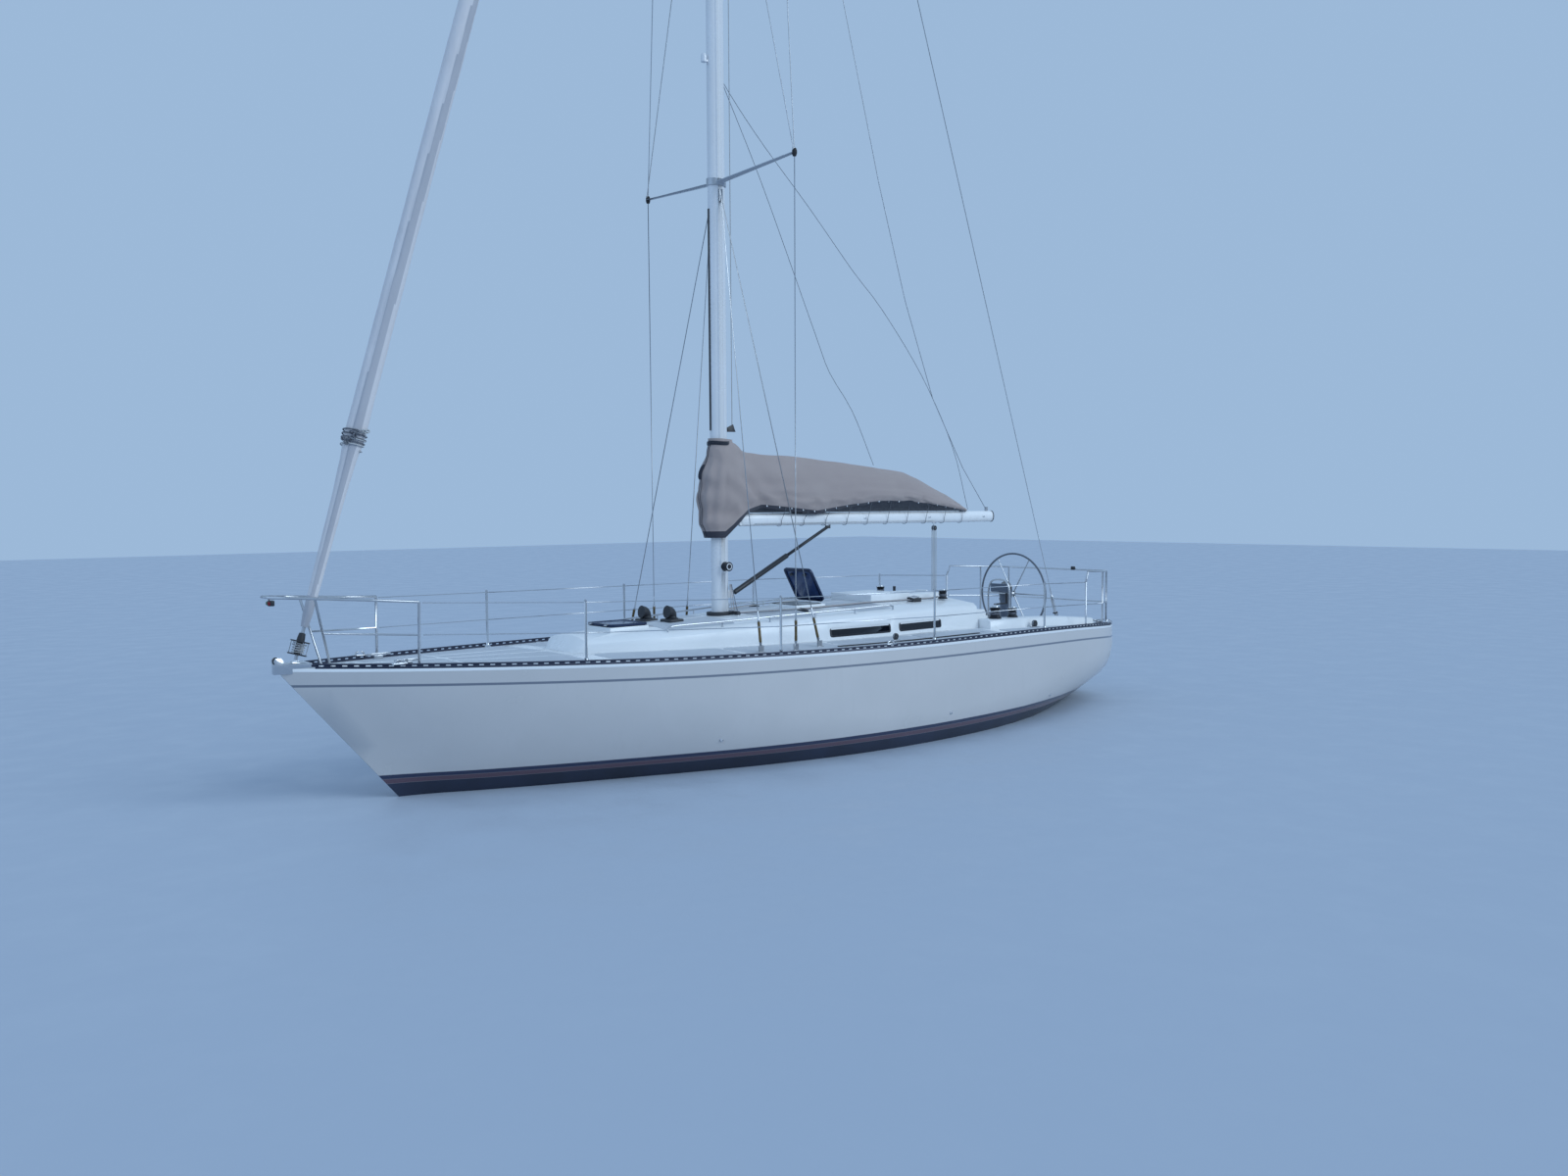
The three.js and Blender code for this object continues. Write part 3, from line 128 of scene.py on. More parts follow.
class Graph:
    """A node tree being wired."""

    def __init__(self, tree: bpy.types.NodeTree) -> None:
        """Takes the tree."""
        self.tree = tree

    def put(self, kind: str, feeds: dict | None = None, **settings: object) -> Node:
        """Adds a node.

        Args:
            kind: The node's type.
            feeds: A value or a socket for each named or numbered input.
            settings: The node's own options.

        Returns:
            The node.
        """
        node = self.tree.nodes.new(kind)
        for key, value in settings.items():
            setattr(node, key, value)
        for key, value in (feeds or {}).items():
            if isinstance(value, Socket):
                self.tree.links.new(value, node.inputs[key])
            else:
                node.inputs[key].default_value = value
        return node

    def group(self, name: str, **values: float) -> Sockets:
        """Adds one of the shared groups and gives its outputs."""
        return self.put("ShaderNodeGroup", values, node_tree=GROUPS[name]).outputs

    def math(self, work: str, a: Socket | float, b: Socket | float = 0.0) -> Socket:
        """Adds a calculation of two values and gives its result."""
        return self.put("ShaderNodeMath", {0: a, 1: b}, operation=work).outputs[0]

    def waves(self, a: Socket, b: Socket, pitch: Socket | float) -> Socket:
        """Gives the product of two sine waves of one pitch."""
        rows = [self.math("SINE", self.math("MULTIPLY", way, pitch)) for way in (a, b)]
        return self.math("MULTIPLY", *rows)

    def place(self, space: str = "Object") -> Socket:
        """Gives the place on the piece, or with UV on its unrolled surface."""
        return self.put("ShaderNodeTexCoord").outputs[space]

    def axes(self, space: str = "Object") -> Sockets:
        """Gives the place's coordinates one by one."""
        return self.put("ShaderNodeSeparateXYZ", {0: self.place(space)}).outputs

    def diagonals(self, space: str, pitch: float) -> Socket:
        """Gives waves that cross on the two diagonals of the first two axes."""
        x, y, _ = self.axes(space)
        return self.waves(self.math("ADD", x, y), self.math("SUBTRACT", x, y), pitch)

    def mix(self, share: Socket | float, a: object, b: object) -> Socket:
        """Adds a mix of two colours and gives its result."""
        return self.put("ShaderNodeMix", {0: share, 6: a, 7: b}, data_type="RGBA").outputs[2]

    def noise(self, place: Socket, scale: Socket | float, detail: float = 3.0) -> Socket:
        """Adds a cloudy pattern and gives its value."""
        return self.put("ShaderNodeTexNoise", {"Vector": place, "Scale": scale, "Detail": detail}).outputs[0]

    def stretch(self, place: Socket, scale: Point) -> Socket:
        """Adds a stretch of the pattern's space and gives the new place."""
        return self.put("ShaderNodeMapping", {"Vector": place, "Scale": scale}).outputs[0]

    def span(self, value: Socket, low: float, high: float) -> Socket:
        """Gives a value's share of the way between two levels."""
        return self.put("ShaderNodeMapRange", {0: value, 1: low, 2: high}, clamp=True).outputs[0]

    def band(self, value: Socket, low: float, high: float) -> Socket:
        """Gives 1 where a value lies between two levels, with soft ends."""
        rise, fall = (self.span(value, level - SOFT_LINE, level + SOFT_LINE) for level in (low, high))
        return self.math("SUBTRACT", rise, fall)


def shader_group(name: str, given: dict[str, float], work: Callable[[Graph, Sockets], dict[str, Socket]]) -> Tree:
    """Builds a shared shader group.

    Args:
        name: The group's name.
        given: Each input's name and value.
        work: Wires the group's inside and gives its outputs.

    Returns:
        The group.
    """
    tree = bpy.data.node_groups.new(name, "ShaderNodeTree")
    for key, value in given.items():
        tree.interface.new_socket(key, in_out="INPUT", socket_type="NodeSocketFloat").default_value = value
    graph = Graph(tree)
    results = work(graph, graph.put("NodeGroupInput").outputs)
    for key in results:
        tree.interface.new_socket(key, in_out="OUTPUT", socket_type="NodeSocketFloat")
    graph.put("NodeGroupOutput", results)
    return tree


def weather(graph: Graph, given: Sockets) -> dict[str, Socket]:
    """Wires what rain and handling leave: streaks, cloudy patches and fine specks.

    Args:
        graph: The group's graph.
        given: Its inputs.

    Returns:
        Its outputs.
    """
    scaled = graph.put("ShaderNodeVectorMath", {0: graph.place(), "Scale": given["Scale"]}, operation="SCALE").outputs[
        0
    ]
    streaks = graph.noise(graph.stretch(scaled, (9.0, 9.0, 0.9)), 1.6, 4.0)
    return {"Streaks": graph.span(streaks, 0.5, 0.75), "Patches": graph.span(graph.noise(scaled, 1.7, 4.0), 0.35, 0.7)}


def grain(graph: Graph, given: Sockets) -> dict[str, Socket]:
    """Wires a surface's fine relief.

    Args:
        graph: The group's graph.
        given: Its inputs.

    Returns:
        Its outputs.
    """
    along = graph.put("ShaderNodeCombineXYZ", {0: given["Stretch"], 1: 1.0, 2: 1.0}).outputs[0]
    drawn = graph.put("ShaderNodeVectorMath", {0: graph.place(), 1: along}, operation="MULTIPLY").outputs[0]
    coarse = graph.math("MULTIPLY", graph.noise(drawn, 14.0, 2.0), 0.7)
    return {"Height": graph.math("ADD", graph.noise(drawn, given["Scale"]), coarse)}


def weave(graph: Graph, given: Sockets) -> dict[str, Socket]:
    """Wires woven threads on the piece's own UV, in metres."""
    height = graph.waves(*graph.axes("UV")[:2], given["Threads"])
    return {"Height": height, "Gaps": graph.span(height, -0.4, 0.6)}


GROUPS = {
    "weather": shader_group("weather", {"Scale": 1.0}, weather),
    "grain": shader_group("grain", {"Scale": 200.0, "Stretch": 1.0}, grain),
    "weave": shader_group("weave", {"Threads": 1200.0}, weave),
}
MADE: dict[str, Material] = {}


@frozen
class Finish:
    """A surface's colour, gloss and small relief."""

    name: str
    colour: Colour
    roughness: float = 0.4
    metallic: float = 0.0
    coat: float = 0.0
    worn: Colour | None = None
    wear: float = 0.25
    relief: float = 0.0004
    grain: float = 220.0
    stretch: float = 1.0
    streaks: float = 0.2

    def build(self) -> Material:
        """Makes the material, once for each finish.

        Returns:
            The material.
        """
        if self.name in MADE:
            return MADE[self.name]
        made = MADE[self.name] = bpy.data.materials.new(self.name)
        made.use_nodes = True
        graph = Graph(made.node_tree)
        weather = graph.group("weather")
        rough = graph.math("MULTIPLY", weather["Patches"], 0.5 * self.roughness)
        rough = self.gloss(graph, graph.math("ADD", rough, 0.75 * self.roughness))
        bump = graph.put("ShaderNodeBump", {"Height": self.height(graph), "Strength": 1.0, "Distance": self.relief})
        inputs = made.node_tree.nodes["Principled BSDF"].inputs
        for key, socket in (
            ("Base Color", self.tint(graph, weather)), ("Roughness", rough), ("Normal", bump.outputs[0]),
        ):
            made.node_tree.links.new(socket, inputs[key])
        values = {"Metallic": self.metallic, "Coat Weight": self.coat, "Coat Roughness": 0.08, **self.extra()}
        for key, value in values.items():
            inputs[key].default_value = value
        return made

    def tint(self, graph: Graph, weather: Sockets) -> Socket:
        """Gives the surface's colour with its wear.

        Args:
            graph: The material's graph.
            weather: The weather group's outputs.

        Returns:
            The colour's socket.
        """
        worn = srgb(self.worn) if self.worn else srgb(self.colour, 0.82)
        share = graph.math("MULTIPLY", weather["Patches"], self.wear)
        run = graph.math("MULTIPLY", weather["Streaks"], self.streaks)
        return graph.mix(graph.math("MAXIMUM", share, run), srgb(self.colour), worn)

    def gloss(self, graph: Graph, rough: Socket) -> Socket:
        """Gives the roughness; some finishes change it."""
        return rough

    def height(self, graph: Graph) -> Socket:
        """Gives the height of the surface's relief."""
        return graph.group("grain", Scale=self.grain, Stretch=self.stretch)["Height"]

    def extra(self) -> dict[str, float]:
        """Gives the shader's remaining values; some finishes have them."""
        return {}


@frozen
class Topsides(Finish):
    """Hull paint: gelcoat with a cove stripe, two boot stripes and the bottom paint, all by height."""

    sheer: tuple[float, ...] = ()
    cove: Colour = 0x767C88
    navy: Colour = 0x262E4C
    maroon: Colour = 0x5C4652
    bottom: Colour = 0x182034
    fouled: Colour = 0x2A3654
    levels: Point = (0.232, 0.19, 0.142)
    cove_drop: Pair = (0.118, 0.142)
    deepest: float = -9.0

    def tint(self, graph: Graph, weather: Sockets) -> Socket:
        """Gives the paint's colour, stripe by stripe.

        Args:
            graph: The material's graph.
            weather: The weather group's outputs.

        Returns:
            The colour's socket.
        """
        x, _, z = graph.axes()
        sheer: Socket | float = self.sheer[0]
        for term in self.sheer[1:]:
            sheer = graph.math("ADD", graph.math("MULTIPLY", sheer, x), term)
        drop = graph.math("SUBTRACT", sheer, z)
        colour = graph.mix(graph.band(drop, *self.cove_drop), Finish.tint(self, graph, weather), srgb(self.cove))
        top, middle, low = self.levels
        colour = graph.mix(graph.band(z, middle, top), colour, srgb(self.navy))
        colour = graph.mix(graph.band(z, low, middle), colour, srgb(self.maroon))
        paint = graph.mix(graph.math("MULTIPLY", weather["Patches"], 0.5), srgb(self.bottom), srgb(self.fouled))
        return graph.mix(graph.band(z, self.deepest, low), colour, paint)

    def gloss(self, graph: Graph, rough: Socket) -> Socket:
        """Makes the bottom paint matt."""
        matt = graph.band(graph.axes()[2], self.deepest, self.levels[2])
        return graph.math("MAXIMUM", rough, graph.math("MULTIPLY", matt, 0.75))


@frozen
class Cloth(Finish):
    """Woven cloth with its sheen."""

    threads: float = 1400.0
    fold: float = 0.35

    def tint(self, graph: Graph, weather: Sockets) -> Socket:
        """Gives the cloth's colour, paler where it has weathered and darker between threads."""
        gaps = graph.math("MULTIPLY", graph.group("weave", Threads=self.threads)["Gaps"], self.fold)
        return graph.mix(gaps, Finish.tint(self, graph, weather), srgb(self.colour, 0.8))

    def height(self, graph: Graph) -> Socket:
        """Gives the threads' height."""
        return graph.group("weave", Threads=self.threads)["Height"]

    def extra(self) -> dict[str, float]:
        """Gives the cloth's soft sheen."""
        return {"Sheen Weight": 0.25, "Sheen Roughness": 0.5, "Specular IOR Level": 0.2}


@frozen
class Braid(Finish):
    """Braided line with a fleck, its strands on the tube's UV."""

    fleck: Colour = 0x3C5A96
    pitch: float = 90.0

    def height(self, graph: Graph) -> Socket:
        """Gives the strands' height."""
        return graph.diagonals("UV", self.pitch * 2 * pi)

    def tint(self, graph: Graph, weather: Sockets) -> Socket:
        """Gives the line's colour with its fleck."""
        flecks = graph.band(self.height(graph), 0.72, 1.2)
        return graph.mix(flecks, Finish.tint(self, graph, weather), srgb(self.fleck))


@frozen
class Wood(Finish):
    """Oiled or varnished wood, its grain along one of the boat's directions."""

    grain_way: Point = (2.0, 60.0, 60.0)

    def tint(self, graph: Graph, weather: Sockets) -> Socket:
        """Gives the wood's colour with its rings."""
        rings = graph.noise(graph.stretch(graph.place(), self.grain_way), 1.0, 6.0)
        return graph.mix(graph.span(rings, 0.35, 0.7), srgb(self.colour), srgb(self.colour, 0.6))


@frozen
class Glazing(Finish):
    """Smoked acrylic that lets a little light through."""

    clear: float = 0.3

    def extra(self) -> dict[str, float]:
        """Lets light through the pane."""
        return {"Transmission Weight": self.clear, "IOR": 1.49}


@frozen
class NonSlip(Finish):
    """Moulded non-slip pattern of small diamonds."""

    pitch: float = 0.011

    def height(self, graph: Graph) -> Socket:
        """Gives the diamonds' height."""
        return graph.math("MAXIMUM", graph.diagonals("Object", 2 * pi / self.pitch), 0.0)


EDGE = DeckEdge()
SHEER_TERMS = tuple(float(c) for c in np.polyfit(EDGE.x, EDGE.sheer, 5))

GELCOAT = Finish("gelcoat_white", 0xECEDEE, 0.32, coat=0.2, worn=0xD4D6D5, relief=0.0003, grain=40.0)
GRIP = NonSlip("gelcoat_grip", 0xC0C5CC, 0.65, worn=0xB0B3B7, relief=0.0007)
HULL = Topsides("hull_paint", 0xCCC9C8, 0.22, coat=0.5, worn=0xBEBCBA, sheer=SHEER_TERMS, grain=5.0)
BOTTOM = Finish("bottom_paint", 0x182034, 0.75, worn=0x242E42, wear=0.6, relief=0.0012, grain=60.0)
NAVY_RAIL = Finish("rail_anodised", 0x22293E, 0.42, 0.35, worn=0x4A5264, wear=0.35, stretch=0.1)
ACRYLIC = Glazing("acrylic_smoked", 0x3A4E78, 0.12, relief=0.0001, clear=0.2, worn=0x445A84)
RIM = Finish("hatch_rim_navy", 0x102242, 0.35, 0.3, worn=0x304262, wear=0.3, relief=0.0002)
FRAME = Finish("window_frame", 0x181C26, 0.4, 0.2, worn=0x3A3E48, wear=0.3, relief=0.0002)
WINCH = Finish("winch_black", 0x1E2026, 0.38, 0.5, worn=0x54565C, wear=0.35, relief=0.0005, grain=260.0)
DARK_RIM = Finish("wheel_leather", 0x626872, 0.6, worn=0x7A7E84, wear=0.4, relief=0.0009, grain=240.0)
GRAPHITE = Finish("pedestal_enamel", 0x545E6E, 0.4, worn=0x68707C, grain=60.0)
DIAL = Finish("dial_face", 0x3A4242, 0.25, worn=0x48504E, wear=0.2, relief=0.0001)
PANE = Glazing("window_dark", 0x10151E, 0.06, relief=0.0001, clear=0.15, worn=0x181E2A)
STEEL = Finish("steel_polished", 0xCED0D4, 0.16, 1.0, worn=0xA8A6A0, relief=0.0001, stretch=0.1)
WIRE = Finish("steel_wire", 0xACB0B6, 0.34, 1.0, worn=0x84827E, relief=0.0006, grain=700.0)
CHROME = Finish("winch_chrome", 0xD4D6D9, 0.1, 1.0, worn=0xB0B0AE, relief=0.0001)
SPAR = Finish("spar_paint", 0xE0E1E4, 0.32, 0.1, coat=0.15, worn=0xCACAC9, relief=0.0002)
BOOM_PAINT = Finish("boom_paint", 0xF0F0F1, 0.3, coat=0.2, worn=0xDEDDDB, relief=0.0002, stretch=0.2)
ALLOY = Finish("alloy_anodised", 0xB2B6BC, 0.34, 0.9, worn=0x94969A, relief=0.0002, stretch=0.1)
BLACK = Finish("fitting_black", 0x222429, 0.5, worn=0x42444A, grain=320.0)
RUBBER = Finish("rubber", 0x1B1C1F, 0.72, worn=0x363638, relief=0.0006)
CANVAS = Cloth("canvas_grey", 0xB0A09C, 0.9, worn=0xBCAEA9, wear=0.5, relief=0.0006)
# Dark binding canvas for the zip's tapes and the cover's hem; on the hem its darkness is also painted shade.
CANVAS_DARK = Cloth("canvas_binding", 0x3E3E48, 0.9, worn=0x4E4D56, relief=0.0005)
# Dark strap canvas for the collar's straps, and painted shade on the stowed sail's lower sides.
CANVAS_STRAP_AND_SHADE = Cloth("canvas_strap", 0x2C303C, 0.85, worn=0x363840, relief=0.0005, threads=1800.0)
SAIL = Cloth("sail_woven", 0xDEDBDD, 0.6, worn=0xCCC6C8, wear=0.6, relief=0.0003, threads=2200.0, fold=0.12)
# Grey UV strip cloth; beside the outer lap's edge it is also painted shadow of that edge.
SAIL_STRIP_AND_SHADE = Cloth("sail_uv_strip", 0xBCBCC2, 0.8, worn=0xACACB4, wear=0.5, threads=1500.0)
ROPE = Braid("braid_white", 0xCECECC, 0.8, worn=0xB2B0AA, wear=0.5, relief=0.0012)
ROPE_DARK = Braid("braid_grey", 0x60646E, 0.8, fleck=0xBEC2C8, relief=0.0012)
ROPE_RED = Braid("braid_red", 0xBCB8B6, 0.8, fleck=0x962C2C, relief=0.0012)
TEAK = Wood("teak_oiled", 0x96704A, 0.5, relief=0.0005, stretch=0.05)
TEAK_ACROSS = Wood("teak_washboard", 0x96704A, 0.45, coat=0.2, grain_way=(60.0, 2.0, 46.0))
VARNISH = Wood("joinery_varnished", 0x8E603A, 0.25, coat=0.6, relief=0.0002, stretch=0.05)
BRONZE = Finish("bronze_dull", 0x705E42, 0.42, 0.9, worn=0x46483E, wear=0.5, relief=0.0006)
ENGINE = Finish("engine_enamel", 0x5C6C6A, 0.45, worn=0x404A4A, relief=0.0006, grain=90.0)
LENS_RED = Glazing("lens_red", 0xAA1418, 0.12, relief=0.0001, clear=0.5)
LENS_GREEN = Glazing("lens_green", 0x0A7846, 0.12, relief=0.0001, clear=0.5)
LENS_CLEAR = Glazing("lens_clear", 0xE2E4E6, 0.12, relief=0.0001, clear=0.8)


# ---- shapes ----


def turns(count: int) -> list[float]:
    """Gives equally spaced angles round a circle."""
    return [2 * pi * i / count for i in range(count)]


def mm(*sizes: float) -> Pairs:
    """Gives pairs in metres from a run of sizes in millimetres."""
    return tuple((a / 1000, b / 1000) for a, b in zip(sizes[::2], sizes[1::2]))


def circle(centre: Vector, side: Vector, other: Vector, radius: float, sides: int) -> list[Vector]:
    """Gives a circle's points from two directions square to its axis."""
    return [centre + side * (radius * cos(a)) + other * (radius * sin(a)) for a in turns(sides)]


def rounded(x0: float, x1: float, y0: float, y1: float, radius: float, steps: int = 5) -> list[Pair]:
    """Gives a rectangle's outline with round corners.

    Args:
        x0: Low side.
        x1: High side.
        y0: Low end.
        y1: High end.
        radius: The corners' radius.
        steps: Points along each corner.

    Returns:
        The outline, anticlockwise.
    """
    left, right, low, high = x0 + radius, x1 - radius, y0 + radius, y1 - radius
    outline = []
    for turn, x, y in ((0, right, high), (90, left, high), (180, left, low), (270, right, low)):
        angles = [radians(turn + 90 * i / steps) for i in range(steps + 1)]
        outline += [(x + radius * cos(a), y + radius * sin(a)) for a in angles]
    return outline


def soften(mesh: Mesh, sharp: float = SHARP) -> None:
    """Shades a mesh smooth up to an angle.

    Args:
        mesh: The mesh.
        sharp: The angle in degrees.
    """
    mesh.polygons.foreach_set("use_smooth", [True] * len(mesh.polygons))
    mesh.set_sharp_from_angle(angle=radians(sharp))
    mesh.update()


def linked(name: str, data: bpy.types.ID) -> Object:
    """Puts data in the scene as an object.

    Args:
        name: The object's name.
        data: Its mesh, lamp or camera.

    Returns:
        The object.
    """
    made = bpy.data.objects.new(name, data)
    bpy.context.scene.collection.objects.link(made)
    return made


class Shape:
    """Closed shells gathered into one mesh, each with its own finish."""

    def __init__(self) -> None:
        """Starts empty."""
        self.points: list[Vector] = []
        self.faces: list[tuple[int, ...]] = []
        self.marks: list[int] = []
        self.maps: list[list[Pair]] = []
        self.finishes: list[Finish] = []

    def rings(self, rings: Sequence[Sequence[Vector]], finish: Finish, caps: bool = True) -> None:
        """Adds a closed shell through rings of equal count, turned outwards, with its UV in metres.

        Args:
            rings: The rings, each seen the same way round.
            finish: The shell's finish.
            caps: Whether the first and last rings are closed, or else joined to each other.
        """
        if finish not in self.finishes:
            self.finishes.append(finish)
        count, last = len(rings[0]), len(rings) - 1
        points = [Vector(p) for ring in rings for p in ring]
        around = sum((rings[0][j] - rings[0][j - 1]).length for j in range(count))
        run = [0.0]
        for a, b in zip(rings, rings[1:]):
            run.append(run[-1] + sum((q - p).length for p, q in zip(a, b)) / count)
        run.append(2 * run[-1] - run[-2])
        faces, maps = [], []
        for i in range(last if caps else last + 1):
            row, far = i * count, (i + 1) % len(rings) * count
            for j in range(count):
                k = (j + 1) % count
                u, v = around * j / count, around * (j + 1) / count
                faces.append((row + j, far + j, far + k, row + k))
                maps.append([(u, run[i]), (u, run[i + 1]), (v, run[i + 1]), (v, run[i])])
        if caps:
            faces += [tuple(range(count)), tuple(last * count + j for j in reversed(range(count)))]
            maps += [[(0.0, 0)] * count] * 2
        if sum(points[f[0]].dot(points[a].cross(points[b])) for f in faces for a, b in zip(f[1:], f[2:])) < 0:
            faces, maps = [f[::-1] for f in faces], [m[::-1] for m in maps]
        start = len(self.points)
        self.points += points
        self.faces += [tuple(i + start for i in f) for f in faces]
        self.maps += maps
        self.marks += [self.finishes.index(finish)] * len(faces)

    def tube(
        self, path: Path, radius: float | Sequence[float], finish: Finish, sides: int = 10, loop: bool = False
    ) -> None:
        """Adds a round tube along a path.

        Args:
            path: Points of the centreline.
            radius: One radius, or one for each point.
            finish: The tube's finish.
            sides: Number of sides.
            loop: Whether the path closes on itself.
        """
        line = [Vector(p) for p in path]
        radii = [radius] * len(line) if isinstance(radius, (int, float)) else radius
        last = len(line) - 1
        side, rings = None, []
        for i, (centre, r) in enumerate(zip(line, radii)):
            before = line[i - 1] if i or loop else line[0]
            after = line[(i + 1) % len(line)] if i < last or loop else line[last]
            along = (after - before).normalized()
            if side is None:
                side = UP if abs(along.z) < 0.9 else AHEAD
            side = (side - along * side.dot(along)).normalized()
            rings.append(circle(centre, side, along.cross(side), r, sides))
        self.rings(rings, finish, caps=not loop)

    def turned(self, foot: Spot, profile: Pairs, finish: Finish, sides: int = 24, axis: Spot = UP) -> None:
        """Adds a lathe piece whose profile runs from end to end.

        Args:
            foot: Where the axis starts.
            profile: Radius and height of each ring.
            finish: The piece's finish.
            sides: Number of sides.
            axis: The axis's direction.
        """
        along = Vector(axis).normalized()
        side = along.orthogonal().normalized()
        other = along.cross(side)
        self.rings([circle(Vector(foot) + along * h, side, other, r, sides) for r, h in profile], finish)

    def plate(
        self, outline: Pairs, low: float, high: float, bevel: float, finish: Finish, place: Matrix = STILL
    ) -> None:
        """Adds a raised outline with softened edges.

        Args:
            outline: Convex outline in the plate's own plane.
            low: Height of the lower face.
            high: Height of the upper face.
            bevel: Width of the softened edge.
            finish: The plate's finish.
            place: Where the plate's plane stands.
        """
        middle = Vector((sum(p[0] for p in outline), sum(p[1] for p in outline))) / len(outline)
        soft = min(bevel, (high - low) / 2.2)
        steps = [(low, soft), (low + 0.3 * soft, 0.3 * soft), (low + soft, 0), (high - soft, 0)]
        rings = []
        for height, inset in (*steps, (high - 0.3 * soft, 0.3 * soft), (high, soft)):
            arms = [Vector(p) - middle for p in outline]
            drawn = [middle + a * max(1 - inset / max(a.length, 1e-6), 0.02) for a in arms]
            rings.append([place @ Vector((*p, height)) for p in drawn])
        self.rings(rings, finish)

    def block(self, low: Spot, high: Spot, finish: Finish, bevel: float = 0.004, place: Matrix = STILL) -> None:
        """Adds a box with rounded upright edges and softened rims.

        Args:
            low: Lowest corner.
            high: Highest corner.
            finish: The box's finish.
            bevel: Radius of its edges.
            place: Turns or moves the box.
        """
        (x0, y0, z0), (x1, y1, z1) = low, high
        corner = min(bevel * 2, (x1 - x0) / 2.2, (y1 - y0) / 2.2)
        self.plate(rounded(x0, x1, y0, y1, corner, 3), z0, z1, bevel, finish, place)

    def slab(
        self, x: float, y: float, low: float, high: float, long: float, wide: float, finish: Finish, bevel: float
    ) -> None:
        """Adds a box round an upright line, from its half-length and half-width."""
        self.block((x - long, y - wide, low), (x + long, y + wide, high), finish, bevel)

    def rim(self, outer: Pairs, inner: Pairs, low: float, high: float, finish: Finish, place: Matrix = STILL) -> None:
        """Adds a flat ring between two outlines of equal count, with softened edges.

        Args:
            outer: Outer outline.
            inner: Inner outline.
            low: Height of the lower face.
            high: Height of the upper face.
            finish: The ring's finish.
            place: Where the ring's plane stands.
        """
        soft = min(0.003, (high - low) / 3)
        rings = []
        for (ox, oy), (ix, iy) in zip(outer, inner):
            draw = Vector((ix - ox, iy - oy)).normalized() * soft
            section = ((ox, oy, low), (ox, oy, high - soft), (ox + draw.x, oy + draw.y, high))
            section += ((ix - draw.x, iy - draw.y, high), (ix, iy, high - soft), (ix, iy, low))
            rings.append([place @ Vector(p) for p in section])
        self.rings(rings, finish, caps=False)

    def mirrored(self, both: bool = False) -> "Shape":
        """Gives the shells on the other side of the centreline.

        Args:
            both: Whether this side's shells stay beside them.

        Returns:
            The new shape.
        """
        made, own = Shape(), self if both else Shape()
        start = len(own.points)
        made.finishes = list(self.finishes)
        made.points = own.points + [Vector((p.x, -p.y, p.z)) for p in self.points]
        made.faces = own.faces + [tuple(i + start for i in f[::-1]) for f in self.faces]
        made.maps = own.maps + [m[::-1] for m in self.maps]
        made.marks = own.marks + self.marks
        return made

    def mesh(self, name: str, sharp: float = SHARP) -> Mesh:
        """Makes the mesh.

        Args:
            name: The mesh's name.
            sharp: Edges past this angle in degrees stay sharp.

        Returns:
            The mesh.
        """
        mesh = bpy.data.meshes.new(name)
        mesh.from_pydata(self.points, [], self.faces)
        for finish in self.finishes:
            mesh.materials.append(finish.build())
        mesh.polygons.foreach_set("material_index", self.marks)
        flat = [c for corners in self.maps for uv in corners for c in uv]
        mesh.uv_layers.new(name="UVMap").data.foreach_set("uv", flat)
        soften(mesh, sharp)
        return mesh

    def piece(self, name: str, slot: str, body: str = YACHT, sharp: float = SHARP) -> Object:
        """Makes the piece and sets it on its body."""
        return mount(self.mesh(name, sharp), name, body)


def mount(mesh: Mesh, name: str, body: str | None) -> Object:
    """Puts a mesh in the scene as a piece.

    Args:
        mesh: The mesh, in the row's frame.
        name: The piece's name.
        body: The body it rides on, or None to leave it on no body.

    Returns:
        The piece.
    """
    piece = linked(name, mesh)
    if body:
        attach(piece, body)
    log.info("%s: %d faces on %s", name, len(mesh.polygons), body or "two bodies")
    return piece


def smooth(points: Sequence[Sequence[float]], step: float) -> list[Vector]:
    """Gives points along a smooth curve through a few points.

    Args:
        points: The points passed through.
        step: Distance between the new points.

    Returns:
        The denser line.
    """
    line = [Vector(p) for p in points]
    ends = [line[0] * 2 - line[1], *line, line[-1] * 2 - line[-2]]
    dense = [line[0]]
    for a, b, c, d in zip(ends, ends[1:], ends[2:], ends[3:]):
        count = max(2, ceil((c - b).length / step))
        for i in range(1, count + 1):
            t = i / count
            dense.append(
                0.5 * (2 * b + (c - a) * t + (2 * a - 5 * b + 4 * c - d) * t**2 + (3 * b - a - 3 * c + d) * t**3)
            )
    return dense


def merged(node: str) -> bmesh.types.BMesh:
    """Gives a copy of a CAD node's mesh with its triangles joined.

    Args:
        node: The node's name.

    Returns:
        The merged copy.
    """
    copy = bmesh.new()
    copy.from_mesh(frame["nodes"][node].data)
    bmesh.ops.remove_doubles(copy, verts=copy.verts, dist=2e-5)
    return copy


def evaluated(source: Object, name: str) -> Mesh:
    """Turns an object with its modifiers into a plain mesh and removes the object.

    Args:
        source: The object.
        name: The mesh's name.

    Returns:
        The plain mesh.
    """
    graph = bpy.context.evaluated_depsgraph_get()
    graph.update()
    mesh = bpy.data.meshes.new_from_object(source.evaluated_get(graph))
    mesh.name = name
    bpy.data.objects.remove(source)
    return mesh


